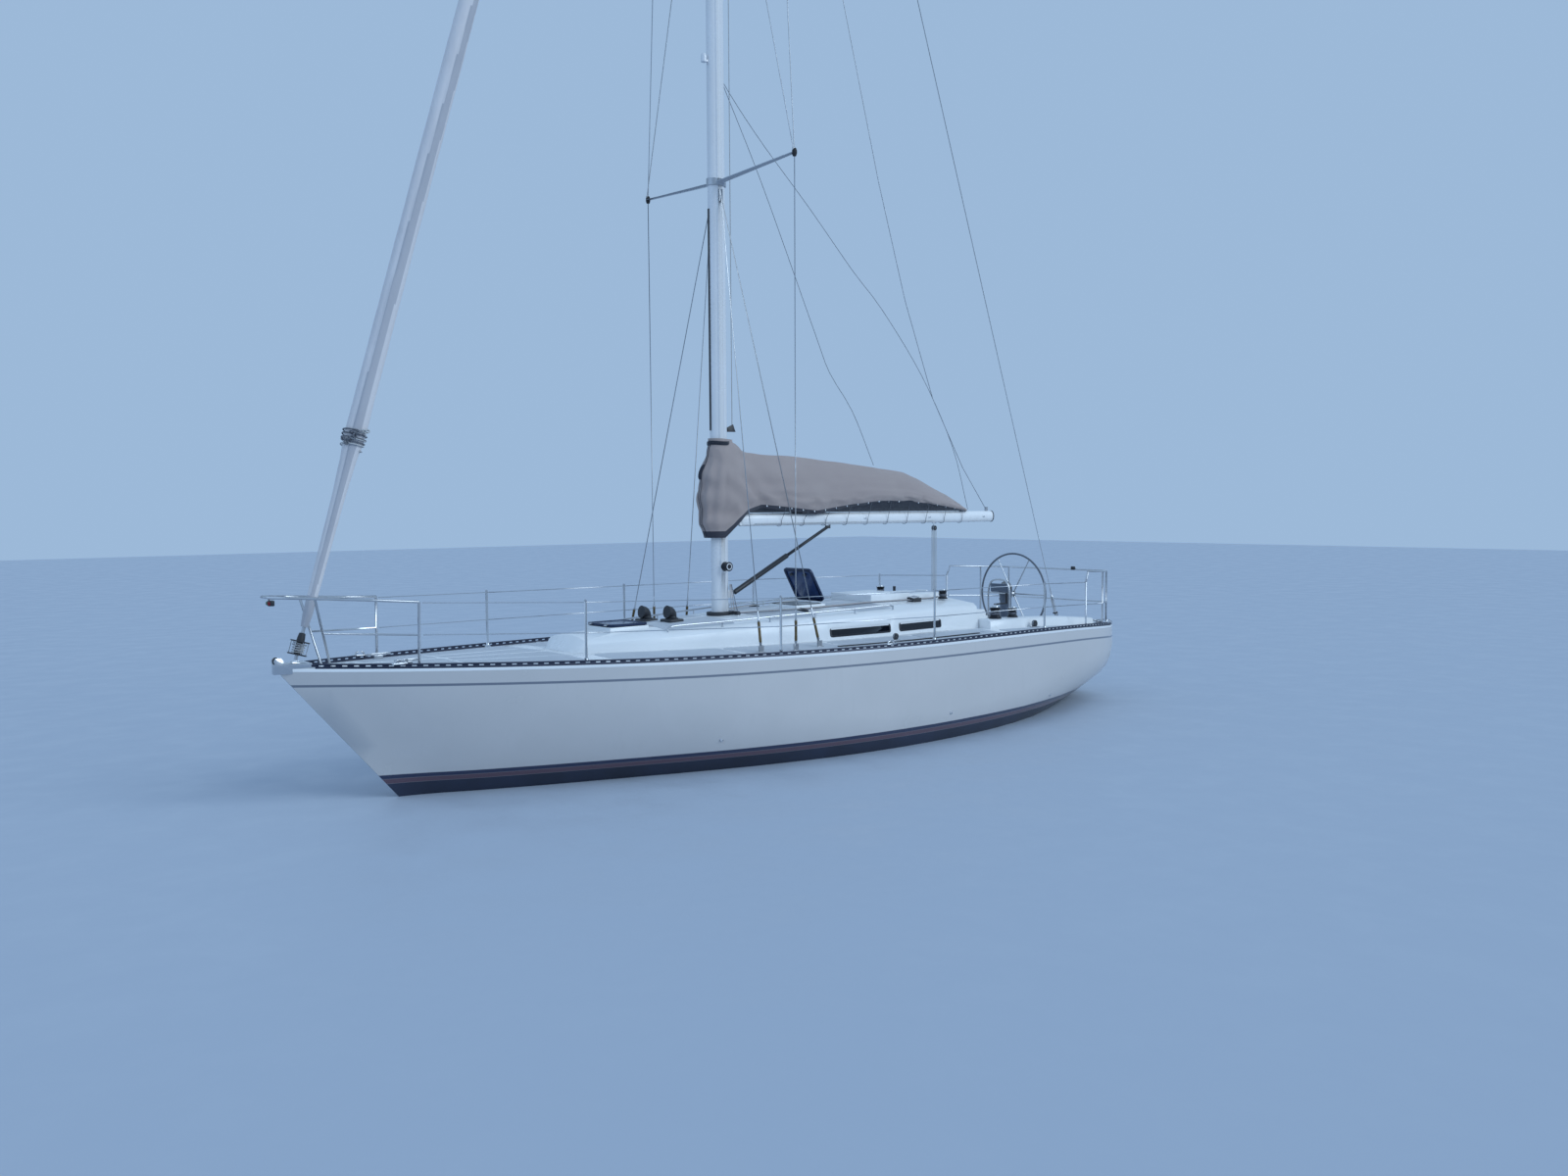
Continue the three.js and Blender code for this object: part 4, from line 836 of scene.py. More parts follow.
class Ground:
    """The surface of a CAD node, on which things stand."""

    def __init__(self, node: str, above: float) -> None:
        """Gathers the node's triangles.

        Args:
            node: The node's name.
            above: Height from which the upper surface is looked for.
        """
        mesh = frame["nodes"][node].data
        self.tree = BVHTree.FromPolygons([v.co for v in mesh.vertices], [tuple(p.vertices) for p in mesh.polygons])
        self.above = above

    def height(self, x: float, y: float) -> float:
        """Gives the height of the upper surface at a place."""
        hit = self.tree.ray_cast(Vector((x, y, self.above)), -UP)[0]
        return hit.z if hit else 0.0

    def side(self, x: float, z: float, sign: int = 1) -> float:
        """Gives how far out the surface lies on the side of a sign."""
        hit = self.tree.ray_cast(Vector((x, sign * 3.0, z)), Vector((0, -sign, 0)))[0]
        return hit.y if hit else 0.0


DECK, ROOF, SHELL = Ground("deck_moulding", 1.6), Ground("cabin_trunk", 2.0), Ground("hull_shell", 2.0)


# ---- the studio ----


@frozen
class Studio:
    """Camera, floor and light: the photograph's view, over a plain pale floor at the water's surface."""

    eye: Point = (9.817, 11.427, 2.754)
    focal_pixels: float = 1284.26
    picture_width: float = 1600.0
    sensor: float = 36.0
    yaw: float = 229.11
    pitch: float = -3.713
    roll: float = 0.346
    floor_reach: float = 70.0

    def camera(self) -> None:
        """Sets the camera at the photograph's place and angle."""
        yaw, pitch, roll = (radians(a) for a in (self.yaw, self.pitch, self.roll))
        ahead = Vector((cos(yaw) * cos(pitch), sin(yaw) * cos(pitch), sin(pitch)))
        right = Vector((sin(yaw), -cos(yaw), 0.0))
        up = right.cross(ahead)
        across = right * cos(roll) - up * sin(roll)
        upright = right * sin(roll) + up * cos(roll)
        data = bpy.data.cameras.new("camera")
        data.sensor_width = self.sensor
        data.lens = self.focal_pixels / self.picture_width * self.sensor
        data.clip_end = 500.0
        camera = linked("camera", data)
        turn = Matrix((across, upright, -ahead)).transposed().to_4x4()
        camera.matrix_world = Matrix.Translation(self.eye) @ turn
        bpy.context.scene.camera = camera

    def waterline(self) -> list[Vector]:
        """Finds the hull's outline at the water's surface.

        Returns:
            The outline, drawn in a little so that the floor laps into the hull's side.
        """
        cut = merged("hull_shell")
        every = [*cut.verts, *cut.edges, *cut.faces]
        bmesh.ops.bisect_plane(
            cut, geom=every, plane_co=(0, 0, 0), plane_no=(0, 0, 1), clear_inner=True, clear_outer=True,
        )
        left = set(cut.verts)
        best: list[Vector] = []
        while left:
            loop = [left.pop()]
            while True:
                step = next(
                    (e.other_vert(loop[-1]) for e in loop[-1].link_edges if e.other_vert(loop[-1]) in left), None,
                )
                if step is None:
                    break
                left.discard(step)
                loop.append(step)
            reach = max(v.co.x for v in loop) - min(v.co.x for v in loop)
            if not best or reach > max(p.x for p in best) - min(p.x for p in best):
                best = [Vector((v.co.x * 0.998, v.co.y * 0.992, 0.0)) for v in loop]
        cut.free()
        return best

    def floor(self) -> None:
        """Lays the floor round the hull."""
        sheet = bmesh.new()
        far = self.floor_reach
        for ring in (
            [Vector((x, y, 0)) for x, y in ((-far, -far), (far, -far), (far, far), (-far, far))], self.waterline(),
        ):
            corners = [sheet.verts.new(p) for p in ring]
            for a, b in zip(corners, [*corners[1:], corners[0]]):
                sheet.edges.new((a, b))
        bmesh.ops.triangle_fill(sheet, edges=sheet.edges[:], use_beauty=True)
        for face in sheet.faces:
            if face.normal.z < 0:
                face.normal_flip()
        mesh = bpy.data.meshes.new("floor")
        sheet.to_mesh(mesh)
        sheet.free()
        floor = linked("floor", mesh)
        paint = Finish("floor_pale", 0xB0BAC8, 0.55, relief=0.0, wear=0.0, streaks=0.0).build()
        mesh.materials.append(paint)

    def lights(self) -> None:
        """Sets an even evening sky and one soft high light from the port quarter."""
        world = bpy.data.worlds.new("sky")
        bpy.context.scene.world = world
        world.use_nodes = True
        sky = world.node_tree.nodes["Background"]
        sky.inputs[0].default_value = srgb(0xB0D0F3)
        sky.inputs[1].default_value = 0.77
        for name, place, power, angle, colour in (
            ("key", (-8, 15, 10), 1.35, 40, 0xE4F4FF),
            ("fill", (14, 2, 8), 0.42, 70, 0xBADAFF),
        ):
            data = bpy.data.lights.new(name, "SUN")
            data.energy = power
            data.angle = radians(angle)
            data.color = srgb(colour)[:3]
            lamp = linked(name, data)
            lamp.rotation_euler = (-Vector(place)).to_track_quat("-Z", "Y").to_euler()
        bpy.context.scene.view_settings.view_transform = "Standard"

    def build(self) -> None:
        """Builds the studio."""
        self.camera()
        self.floor()
        self.lights()


# ---- solids that show in their own shape ----


@frozen
class Skin:
    """How a solid's own shape is shown: its finish and its softened edges."""

    finish: Finish
    bevel: float = 0.0
    sharp: float = SHARP

    def dress(self, node: str) -> None:
        """Shows a CAD node through a merged and softened copy that replaces it.

        Args:
            node: The node's name.
        """
        copy = merged(node)
        bmesh.ops.dissolve_limit(copy, angle_limit=radians(0.4), verts=copy.verts, edges=copy.edges)
        weight = copy.edges.layers.float.new("bevel_weight_edge")
        for edge in copy.edges:
            if len(edge.link_faces) == 2 and edge.is_convex and edge.calc_face_angle(0.0) > radians(40):
                edge[weight] = 1.0
        mesh = bpy.data.meshes.new(f"{node}_skin")
        copy.to_mesh(mesh)
        copy.free()
        if self.bevel:
            shown = linked("bevelled", mesh)
            work = shown.modifiers.new("bevel", "BEVEL")
            work.width = self.bevel
            work.segments = 2
            work.limit_method = "WEIGHT"
            work.use_clamp_overlap = True
            mesh = evaluated(shown, f"{node}_skin")
        mesh.materials.clear()
        mesh.materials.append(self.finish.build())
        soften(mesh, self.sharp)
        body = next(b for b, nodes in frame["record"]["behaviour"]["bodies"].items() if node in nodes)
        piece = mount(mesh, f"{node}_skin", body)
        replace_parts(piece, node)


SKINS = {
    "hull_shell": Skin(HULL),
    "deck_moulding": Skin(GELCOAT, 0.005),
    "cabin_trunk": Skin(GELCOAT, 0.008, 45.0),
    "companionway_hood": Skin(GELCOAT, 0.004),
    "companionway_hatch": Skin(GELCOAT, 0.003),
    "washboards": Skin(TEAK_ACROSS, 0.003),
    "cockpit_moulding": Skin(GELCOAT, 0.008),
    "locker_lid_*": Skin(GELCOAT, 0.005),
    "bow_cleat_* stern_cleat_*": Skin(STEEL, 0.005),
    "keel_fin rudder": Skin(BOTTOM),
    "engine_and_saildrive": Skin(ENGINE, 0.01),
    "mast_step": Skin(BLACK, 0.004),
    "spreaders_lower spreaders_upper": Skin(ALLOY, 0.0, 70.0),
    "masthead_crane": Skin(ALLOY, 0.004),
    "mast": Skin(SPAR),
    "cap_shrouds_* upper_shroud_* diagonal_shroud_* lower_shrouds_* backstay": Skin(WIRE, 0.0, 65.0),
    "forestay": Skin(ALLOY, 0.0, 65.0),
    "stemhead_fitting": Skin(STEEL, 0.004),
    "boom": Skin(BOOM_PAINT),
    "vang": Skin(BLACK, 0.0, 50.0),
    "topping_lift": Skin(WIRE, 0.0, 75.0),
    "guard_rail_*": Skin(STEEL, 0.0, 75.0),
    "bow_pulpit stern_pushpit": Skin(STEEL, 0.0, 65.0),
    "cabin_sole": Skin(VARNISH, 0.003),
    "main_bulkhead": Skin(VARNISH, 0.002),
    "companionway_ladder": Skin(TEAK, 0.003),
    "windows_*": Skin(PANE),
}


def each_side(names: str) -> list[str]:
    """Gives the names in a list; a star in one stands for port and for starboard."""
    return [n.replace("*", s.name) for n in names.split() for s in (Side if "*" in n else [Side.port])]


# ---- rows of small parts ----


def row_tree() -> Tree:
    """Builds the tree that repeats a part at equal steps along a line.

    Returns:
        The Geometry Nodes tree.
    """
    tree = bpy.data.node_groups.new("row_along_line", "GeometryNodeTree")
    for name, kind in (("Line", "Geometry"), ("Part", "Object"), ("Spacing", "Float"), ("Finish", "Material")):
        tree.interface.new_socket(name, in_out="INPUT", socket_type=f"NodeSocket{kind}")
    tree.interface.new_socket("Geometry", in_out="OUTPUT", socket_type="NodeSocketGeometry")
    graph = Graph(tree)
    given = graph.put("NodeGroupInput").outputs
    curve = graph.put("GeometryNodeMeshToCurve", {0: given["Line"]}).outputs[0]
    steps = graph.put("GeometryNodeResampleCurve", {"Curve": curve, "Length": given["Spacing"]}, mode="LENGTH")
    tangent = graph.put("GeometryNodeInputTangent").outputs[0]
    turn = graph.put("FunctionNodeAlignRotationToVector", {"Vector": tangent}, axis="X", pivot_axis="Z").outputs[0]
    part = graph.put("GeometryNodeObjectInfo", {"Object": given["Part"]}).outputs["Geometry"]
    feeds = {"Points": steps.outputs[0], "Instance": part, "Rotation": turn}
    placed = graph.put("GeometryNodeInstanceOnPoints", feeds).outputs[0]
    real = graph.put("GeometryNodeRealizeInstances", {0: placed}).outputs[0]
    dressed = graph.put("GeometryNodeSetMaterial", {"Geometry": real, "Material": given["Finish"]}).outputs[0]
    graph.put("NodeGroupOutput", {0: dressed})
    return tree


ROW_TREE = row_tree()


def row(name: str, line: Path, part: Shape, finish: Finish, spacing: float) -> Mesh:
    """Repeats a small part at equal steps along a line, as one plain mesh.

    Args:
        name: The mesh's name.
        line: Points that the row follows.
        part: The part, with +X along the line.
        finish: The row's finish.
        spacing: The step.

    Returns:
        The mesh.
    """
    unit = linked(f"{name}_part", part.mesh(f"{name}_part"))
    path = bpy.data.meshes.new(f"{name}_line")
    path.from_pydata([Vector(p) for p in line], [(i, i + 1) for i in range(len(line) - 1)], [])
    carrier = linked(name, path)
    work = carrier.modifiers.new("row", "NODES")
    work.node_group = ROW_TREE
    values = {"Part": unit, "Spacing": spacing, "Finish": finish.build()}
    for item in ROW_TREE.interface.items_tree:
        if item.name in values:
            work[item.identifier] = values[item.name]
    mesh = evaluated(carrier, name)
    bpy.data.objects.remove(unit)
    soften(mesh)
    return mesh


@frozen
class ToeRail:
    """The slotted toe rail along each deck edge."""

    slot_step: float = 0.1
    post: float = 0.058
    inset: float = 0.017
    profile_low: Pairs = mm(-13, 24, 13, 24, 13, 36, 5, 50, -4, 50, -13, 33)
    profile_cap: Pairs = mm(-7, 62, 8, 62, 9, 70, 5, 77, -4, 77, -8, 70)

    def line(self, lift: float = 0.0) -> list[Vector]:
        """Gives the rail's line along the port deck edge."""
        spots = np.linspace(EDGE.x[0], EDGE.x[-1], 150)
        return [Vector((x, EDGE.half(x) - self.inset, EDGE.height(x) + lift)) for x in spots]

    def build(self) -> None:
        """Builds both rails."""
        path, strips = self.line(), Shape()
        for profile in (self.profile_low, self.profile_cap):
            rings = []
            for i, p in enumerate(path):
                along = path[min(i + 1, len(path) - 1)] - path[max(i - 1, 0)]
                side = Vector((-along.y, along.x, 0)).normalized()
                rings.append([p + side * a + UP * b for a, b in profile])
            strips.rings(rings, NAVY_RAIL)
        post = Shape()
        half = self.post / 2
        post.plate(rounded(-half, half, -0.0035, 0.0035, 0.003, 2), -0.01, 0.01, 0.001, NAVY_RAIL)
        for side, shape in ((Side.port, strips), (Side.starboard, strips.mirrored())):
            spots = [(p.x, side.value * p.y, p.z) for p in self.line(0.056)]
            posts = row(f"rail_posts_{side.name}", spots, post, NAVY_RAIL, self.slot_step)
            rail = shape.piece(f"slotted_rail_{side.name}", "toe_rail")
            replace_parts(rail, f"toe_rail_{side.name}")
            mount(posts, f"rail_posts_{side.name}", YACHT)


@frozen
class Headsail:
    """The headsail rolled on its stay, with its tied clew and the furler's drum."""

    foot: Pair = (5.76, 0)
    head: Point = (1.048, 0.0, 17.318)
    stand: float = 0.07
    rolls: Pairs = mm(
        1690, 34, 1800, 46, 2300, 54, 2900, 64, 3220, 78, 3400, 100, 3520, 101, 3800, 98, 7500, 97, 12000, 80,
        16000, 48, 16700, 26,
    )
    step: float = 0.055
    sides: int = 44
    drift: float = 0.16
    lap: float = 0.11
    strip: float = 0.13
    strip_foot: float = 1.95

    def start(self, z: float) -> float:
        """Gives the angle at which the outer lap ends at a height; it drifts so that the lap's edge, with its grey band
        of painted shadow, stays on the roll's fore side.
        """
        return 0.9 + self.drift * (z - 3.4) + 0.15 * sin(z * 0.9)

    def axis(self) -> tuple[Vector, Vector]:
        """Gives the stay's foot and its direction."""
        foot = Vector((*self.foot, DECK.height(*self.foot) + self.stand))
        return foot, (Vector(self.head) - foot).normalized()

    def out(self, angle: float) -> Vector:
        """Gives the direction off the stay at an angle from its fore side to port."""
        return PORT.cross(self.axis()[1]).normalized() * cos(angle) + PORT * sin(angle)

    def at(self, z: float, angle: float = 0.0, radius: float = 0.0) -> Vector:
        """Gives a point of the stay at a height, or off it at an angle and a radius."""
        foot, along = self.axis()
        return foot + along * ((z - foot.z) / along.z) + self.out(angle) * radius

    def thick(self, z: float) -> float:
        """Gives the roll's radius at a height."""
        return float(np.interp(z, *zip(*self.rolls)))

    def build(self) -> None:
        """Builds the roll, the clew's lashing and the drum."""
        levels = [*np.arange(self.rolls[0][0], self.rolls[-1][0], self.step), self.rolls[-1][0]]
        roll, rings = Shape(), []
        for z in levels:
            ring = []
            for angle in turns(self.sides):
                turn = ((angle - self.start(z)) % (2 * pi)) / (2 * pi)
                crease = noise.noise(Vector((cos(angle) * 1.5, sin(angle) * 1.5, z * 2.6 + angle * 0.6)))
                pinch = noise.noise(Vector((cos(angle) * 3.0, sin(angle) * 3.0, z * 9.0 - angle * 1.2)))
                swell = 1 - self.lap * turn + 0.035 * crease + 0.018 * pinch
                ring.append(self.at(z, angle, self.thick(z) * swell))
            rings.append(ring)
        roll.rings(rings, SAIL)
        # Faces next to the outer lap's edge take the grey strip cloth, partly the real UV strip and partly painted
        # shadow of the lap's edge; below strip_foot the whole roll takes it.
        roll.finishes.append(SAIL_STRIP_AND_SHADE)
        for i, z in enumerate(levels[:-1]):
            for j in range(self.sides):
                turn = ((2 * pi * (j + 0.5) / self.sides - self.start(z)) % (2 * pi)) / (2 * pi)
                if turn < self.strip or z < self.strip_foot:
                    roll.marks[i * self.sides + j] = 1
        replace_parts(roll.piece("rolled_headsail", "sailcloth", sharp=60.0), "furled_headsail")
        self.lashing()
        self.drum()

    def lashing(self) -> None:
        """Winds the sheets round the roll at the clew and ties them."""
        shape = Shape()
        for start, z0, z1, wound, finish in ((0.4, 3.36, 3.47, 3.2, ROPE_DARK), (2.2, 3.3, 3.4, 2.1, ROPE)):
            levels = [z0 + (z1 - z0) * i / (wound * 24) for i in range(int(wound * 24) + 1)]
            path = [self.at(z, start + 2 * pi * i / 24, self.thick(z) + 0.008) for i, z in enumerate(levels)]
            shape.tube(path, 0.007, finish, 8)
        for z, angle, finish in ((3.43, 1.2, ROPE_DARK), (3.36, 0.7, ROPE_DARK), (3.47, 2.0, ROPE)):
            out = self.out(angle)
            across = out.cross(UP).normalized()
            loop = []
            for t in turns(36):
                wide, tall = 0.022 * (sin(t) + 1.2 * sin(2 * t)), 0.018 * (cos(t) - 1.2 * cos(2 * t))
                loop.append(self.at(z) + out * (0.122 - 0.012 * sin(3 * t)) + across * wide + UP * tall)
            shape.tube(loop, 0.0075, finish, 8, loop=True)
        shape.piece("clew_lashing", "rope")

    def drum(self) -> None:
        """Builds the furler's drum with its wound line."""
        shape, base, along = Shape(), self.at(1.44), self.axis()[1]
        plate = mm(20, 0, 80, 0, 87, 4, 87, 9, 80, 13, 20, 13)
        core = mm(20, 0, 40, 0, 40, 108, 20, 108)
        neck = mm(20, 0, 36, 0, 34, 30, 28, 70, 20, 75)
        for lift, profile, sides in ((0, plate, 32), (0.118, plate, 32), (0.012, core, 24), (0.13, neck, 24)):
            shape.turned(base + along * lift, profile, BLACK, sides, along)
        for angle in turns(8):
            arm = base + self.out(angle) * 0.082
            shape.tube([arm + along * 0.008, arm + along * 0.122], 0.0035, STEEL, 8)
        coil = []
        for i in range(9 * 24):
            layer = self.out(2 * pi * i / 24) * (0.045 + 0.008 * (i // 96))
            coil.append(base + along * (0.022 + 0.088 * abs(((i / 96) % 2) - 1)) + layer)
        shape.tube(coil, 0.0045, ROPE, 6)
        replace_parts(shape.piece("furler_drum_cage", "black_fitting"), "furler_drum")


@frozen
class SailCover:
    """The canvas over the stowed mainsail, one cloth from the boom's end round the mast, and the sail in it."""

    ridge: Pairs = mm(
        -3380, 2700, -3270, 2762, -2971, 2895, -2679, 2998, -2394, 3113, -2152, 3187, -1230, 3273, -278, 3350,
        300, 3368, 513, 3385, 620, 3430, 740, 3520, 1200, 3540,
    )
    hem: Pairs = mm(
        -3380, 2672, -3090, 2700, -2700, 2745, -2130, 2785, -1600, 2788, -1070, 2735, -500, 2655, 50, 2710, 350, 2735,
        574, 2673, 736, 2551, 830, 2470, 930, 2392, 990, 2320, 1060, 2298, 1200, 2290,
    )
    width: Pairs = mm(
        -3380, 40, -3300, 80, -2950, 120, -2600, 145, -2180, 158, -1230, 168, -300, 168, 150, 165, 440, 145, 900, 130,
    )
    girth: Pairs = (
        (0.0, 0.6), (0.08, 0.82), (0.2, 0.97), (0.36, 1.0), (0.55, 0.86), (0.72, 0.66), (0.88, 0.4),
        (0.96, 0.2), (1.0, 0),
    )
    collar: Table = (
        (2.29, 0.135, 0.105), (2.41, 0.19, 0.14), (2.56, 0.255, 0.158), (2.9, 0.268, 0.168), (3.165, 0.235, 0.16),
        (3.333, 0.16, 0.122), (3.45, 0.13, 0.095), (3.54, 0.133, 0.096),
    )
    rows: int = 30
    step: float = 0.045
    front_steps: int = 16
    hook_step: float = 0.36
    cloth: float = 0.003
    spare: float = 0.03
    frames: int = 22
    cap: float = 0.016

    def read(self, table: Sequence[Sequence[float]], at: float, column: int = 1) -> float:
        """Reads a column of a table at a place."""
        return float(np.interp(at, [row[0] for row in table], [row[column] for row in table]))

    def fold(self, x: float, z: float, h: float, sign: int) -> float:
        """Gives how far the cloth stands out at a place, from its folds.

        Args:
            x: Place along the boom.
            z: Height.
            h: Share of the way from the hem to the ridge.
            sign: 1 for port and -1 for starboard.

        Returns:
            The distance, in metres.
        """
        near = max(0.0, min(1.0, (x + 0.6) / 1.2))
        flakes = 0.019 * noise.noise(Vector((x * 1.1, z * 7.5, 3.0 * sign)))
        small = 0.007 * noise.noise(Vector((x * 5.5, z * 9.0, 9.0 + 3.0 * sign)))
        pull = sin((x * 0.62 - z * 0.78) * 26 + 2.2 * noise.noise(Vector((x * 2, z * 2, sign))))
        drawn = 0.012 * near * pull * sin(pi * min(h * 1.1, 1.0))
        hang = sin(pi * ((x / self.hook_step) % 1.0))
        tug = -0.014 * (1 - hang) * max(0.0, 1 - h * 4.5) * (1 if x < 0.4 else 0)
        taper = min(1.0, 8 * (1 - h)) if x < 0.6 else 1.0
        return (flakes + small + drawn + tug) * taper

    def point(self, x: float, h: float, sign: int, front: float = 0.0) -> Vector:
        """Gives a point of the cloth.

        Args:
            x: Place along the boom, for the part aft of the mast's middle.
            h: Share of the way from the hem to the ridge.
            sign: 1 for port and -1 for starboard.
            front: Share of the way round the mast's fore side.

        Returns:
            The point.
        """
        low, top = self.read(self.hem, x), self.read(self.ridge, x)
        top += 0.012 * noise.noise(Vector((x * 2.4, 0, 7.0)))
        z = low + h * (top - low)
        reach, half = self.read(self.collar, z, 1), self.read(self.collar, z, 2)
        fold = self.fold(x, z, h, sign)
        if front:
            angle = front * pi / 2
            ripple = 0.008 * sin(front * 16 + 3 * z + sign) * sin(pi * min(1.0, h * 1.2))
            out = 1 + (ripple + 0.5 * fold) / half
            return Vector((MAST_X + reach * sin(angle) * out, sign * half * cos(angle) ** 0.85 * out, z))
        share = max(0.0, min(1.0, (x - 0.42) / 0.4))
        share = share * share * (3 - 2 * share)
        boom_half = self.read(self.width, x) * self.read(self.girth, h)
        y = boom_half * (1 - share) + half * share + fold
        if x < 0.76 and h > 0.999:
            y = 0.0
        return Vector((x, sign * max(y, 0.0), z))

    def columns(self) -> list[Pair]:
        """Gives each column's place: along the boom, and round the mast's fore side."""
        aft = [(float(x), 0.0) for x in np.linspace(-3.38, MAST_X, int(4.28 / self.step) + 1)]
        return aft + [(MAST_X + 0.02, (i + 1) / self.front_steps) for i in range(self.front_steps)]

    def canvas(self) -> Mesh:
        """Makes the cloth, sewn along its ridge, aft end and front.

        Returns:
            The cloth's mesh, with its thickness.
        """
        cloth = bmesh.new()
        layer = cloth.loops.layers.uv.new("UVMap")
        sewn = cloth.verts.layers.int.new("sewn")
        columns = self.columns()
        for sign in (1, -1):
            grid, maps = [], []
            run = 0.0
            before = None
            for x, front in columns:
                line = [self.point(x, j / self.rows, sign, front) for j in range(self.rows + 1)]
                if before:
                    run += (line[0] - before).length
                before = line[0]
                climb = [0.0]
                for a, b in zip(line, line[1:]):
                    climb.append(climb[-1] + (b - a).length)
                grid.append([cloth.verts.new(p) for p in line])
                for j, vertex in enumerate(grid[-1]):
                    vertex[sewn] = int(j < 4 or j == self.rows or front > 0.9 or vertex.co.z > 3.44)
                maps.append([(run, c) for c in climb])
            for i in range(len(grid) - 1):
                for j in range(self.rows):
                    spots = ((i, j), (i + 1, j), (i + 1, j + 1), (i, j + 1))
                    spots = spots if sign < 0 else tuple(reversed(spots))
                    face = cloth.faces.new([grid[a][b] for a, b in spots])
                    # The two rows along the hem take the dark binding canvas, made darker than a binding as painted
                    # shade: the shadow line under the cover's hem.
                    face.material_index = 1 if j < 2 else 0
                    for loop, (a, b) in zip(face.loops, spots):
                        loop[layer].uv = maps[a][b]
        bmesh.ops.remove_doubles(cloth, verts=cloth.verts, dist=1e-4)
        aft = [v for v in cloth.verts if v.co.x < -3.3799]
        for v in aft:
            v.co.y *= 0.05
        bmesh.ops.remove_doubles(cloth, verts=aft, dist=0.006)
        mesh = bpy.data.meshes.new("sail_cover")
        cloth.to_mesh(mesh)
        cloth.free()
        mesh.materials.append(CANVAS.build())
        mesh.materials.append(CANVAS_DARK.build())
        shown = linked("cover_work", mesh)
        self.settle(shown)
        skin = shown.modifiers.new("thickness", "SOLIDIFY")
        skin.thickness = self.cloth
        skin.offset = -1.0
        done = evaluated(shown, "sail_cover")
        soften(done, 70.0)
        return done

    def settle(self, shown: Object) -> None:
        """Lets the cloth, cut a little large, buckle between its seams and hooks by simulation.

        Args:
            shown: The cloth's object.
        """
        mesh = shown.data
        before = np.array([v.co[:] for v in mesh.vertices])
        held = [i for i, item in enumerate(mesh.attributes["sewn"].data) if item.value]
        shown.vertex_groups.new(name="sewn").add(held, 1.0, "REPLACE")
        work = shown.modifiers.new("cloth", "CLOTH")
        for key, value in (("tension", 18), ("compression", 12), ("bending", 0.8)):
            setattr(work.settings, f"{key}_stiffness", value)
        work.settings.quality, work.settings.mass = 7, 0.25
        work.settings.shrink_min, work.settings.vertex_group_mass = -self.spare, "sewn"
        work.settings.effector_weights.gravity = 0.35
        work.collision_settings.use_collision = work.collision_settings.use_self_collision = False
        work.point_cache.frame_start, work.point_cache.frame_end = 1, self.frames
        stage = bpy.context.scene
        for step in range(1, self.frames + 1):
            stage.frame_set(step)
        graph = bpy.context.evaluated_depsgraph_get()
        after = np.array([v.co[:] for v in shown.evaluated_get(graph).data.vertices])
        moved = after - before
        reach = np.linalg.norm(moved, axis=1)
        inward = moved[:, 1] * np.sign(before[:, 1]) < 0
        cap = np.where(inward, 0.6, 1.0) * self.cap
        moved *= (cap * np.tanh(reach / cap) / np.maximum(reach, 1e-9))[:, None]
        log.info("cover settled: mean move %.1f mm, most %.1f mm", reach.mean() * 1000, reach.max() * 1000)
        shown.modifiers.remove(work)
        stage.frame_set(1)
        mesh.vertices.foreach_set("co", (before + moved).ravel())
        mesh.update()

    def build(self) -> None:
        """Builds the cover, the sail in it and what holds the cover down."""
        mesh = self.canvas()
        cover = mount(mesh, "sail_cover", None)
        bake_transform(cover)
        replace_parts(cover, "mainsail_cover", "cover_collar")
        self.sail()
        self.fastenings()

    def sail(self) -> None:
        """Builds the flaked sail under the cover, its lower sides in dark strap canvas as painted shade under the hem.
        """
        shape = Shape()
        rings = []
        for x in np.linspace(-3.32, 0.5, 96):
            low, top = 2.682, self.read(self.ridge, x) - 0.05
            half = self.read(self.width, x) - 0.022
            ring = []
            for j in range(40):
                angle = 2 * pi * j / 40
                lift = 0.5 - 0.5 * cos(angle)
                girth = sin(angle)
                leaf = 0.01 * sin(lift * 40 + 3 * noise.noise(Vector((x * 0.9, lift * 3, 0))))
                wide = half * (0.92 * girth) * (1 - 0.35 * lift**2)
                ring.append(Vector((x, wide + copysign(leaf, girth) * abs(girth), low + lift * (top - low - 0.02))))
            rings.append(ring)
        shape.rings(rings, SAIL)
        # The sail's lower sides, seen in the gap under the cover's hem, take the dark strap canvas as painted shade.
        shape.finishes.append(CANVAS_STRAP_AND_SHADE)
        for k, face in enumerate(shape.faces):
            if len(face) == 4 and min(k % 40, 39 - k % 40) < 12:
                shape.marks[k] = 1
        sail = shape.piece("stowed_mainsail", "sailcloth", "boom", 60.0)

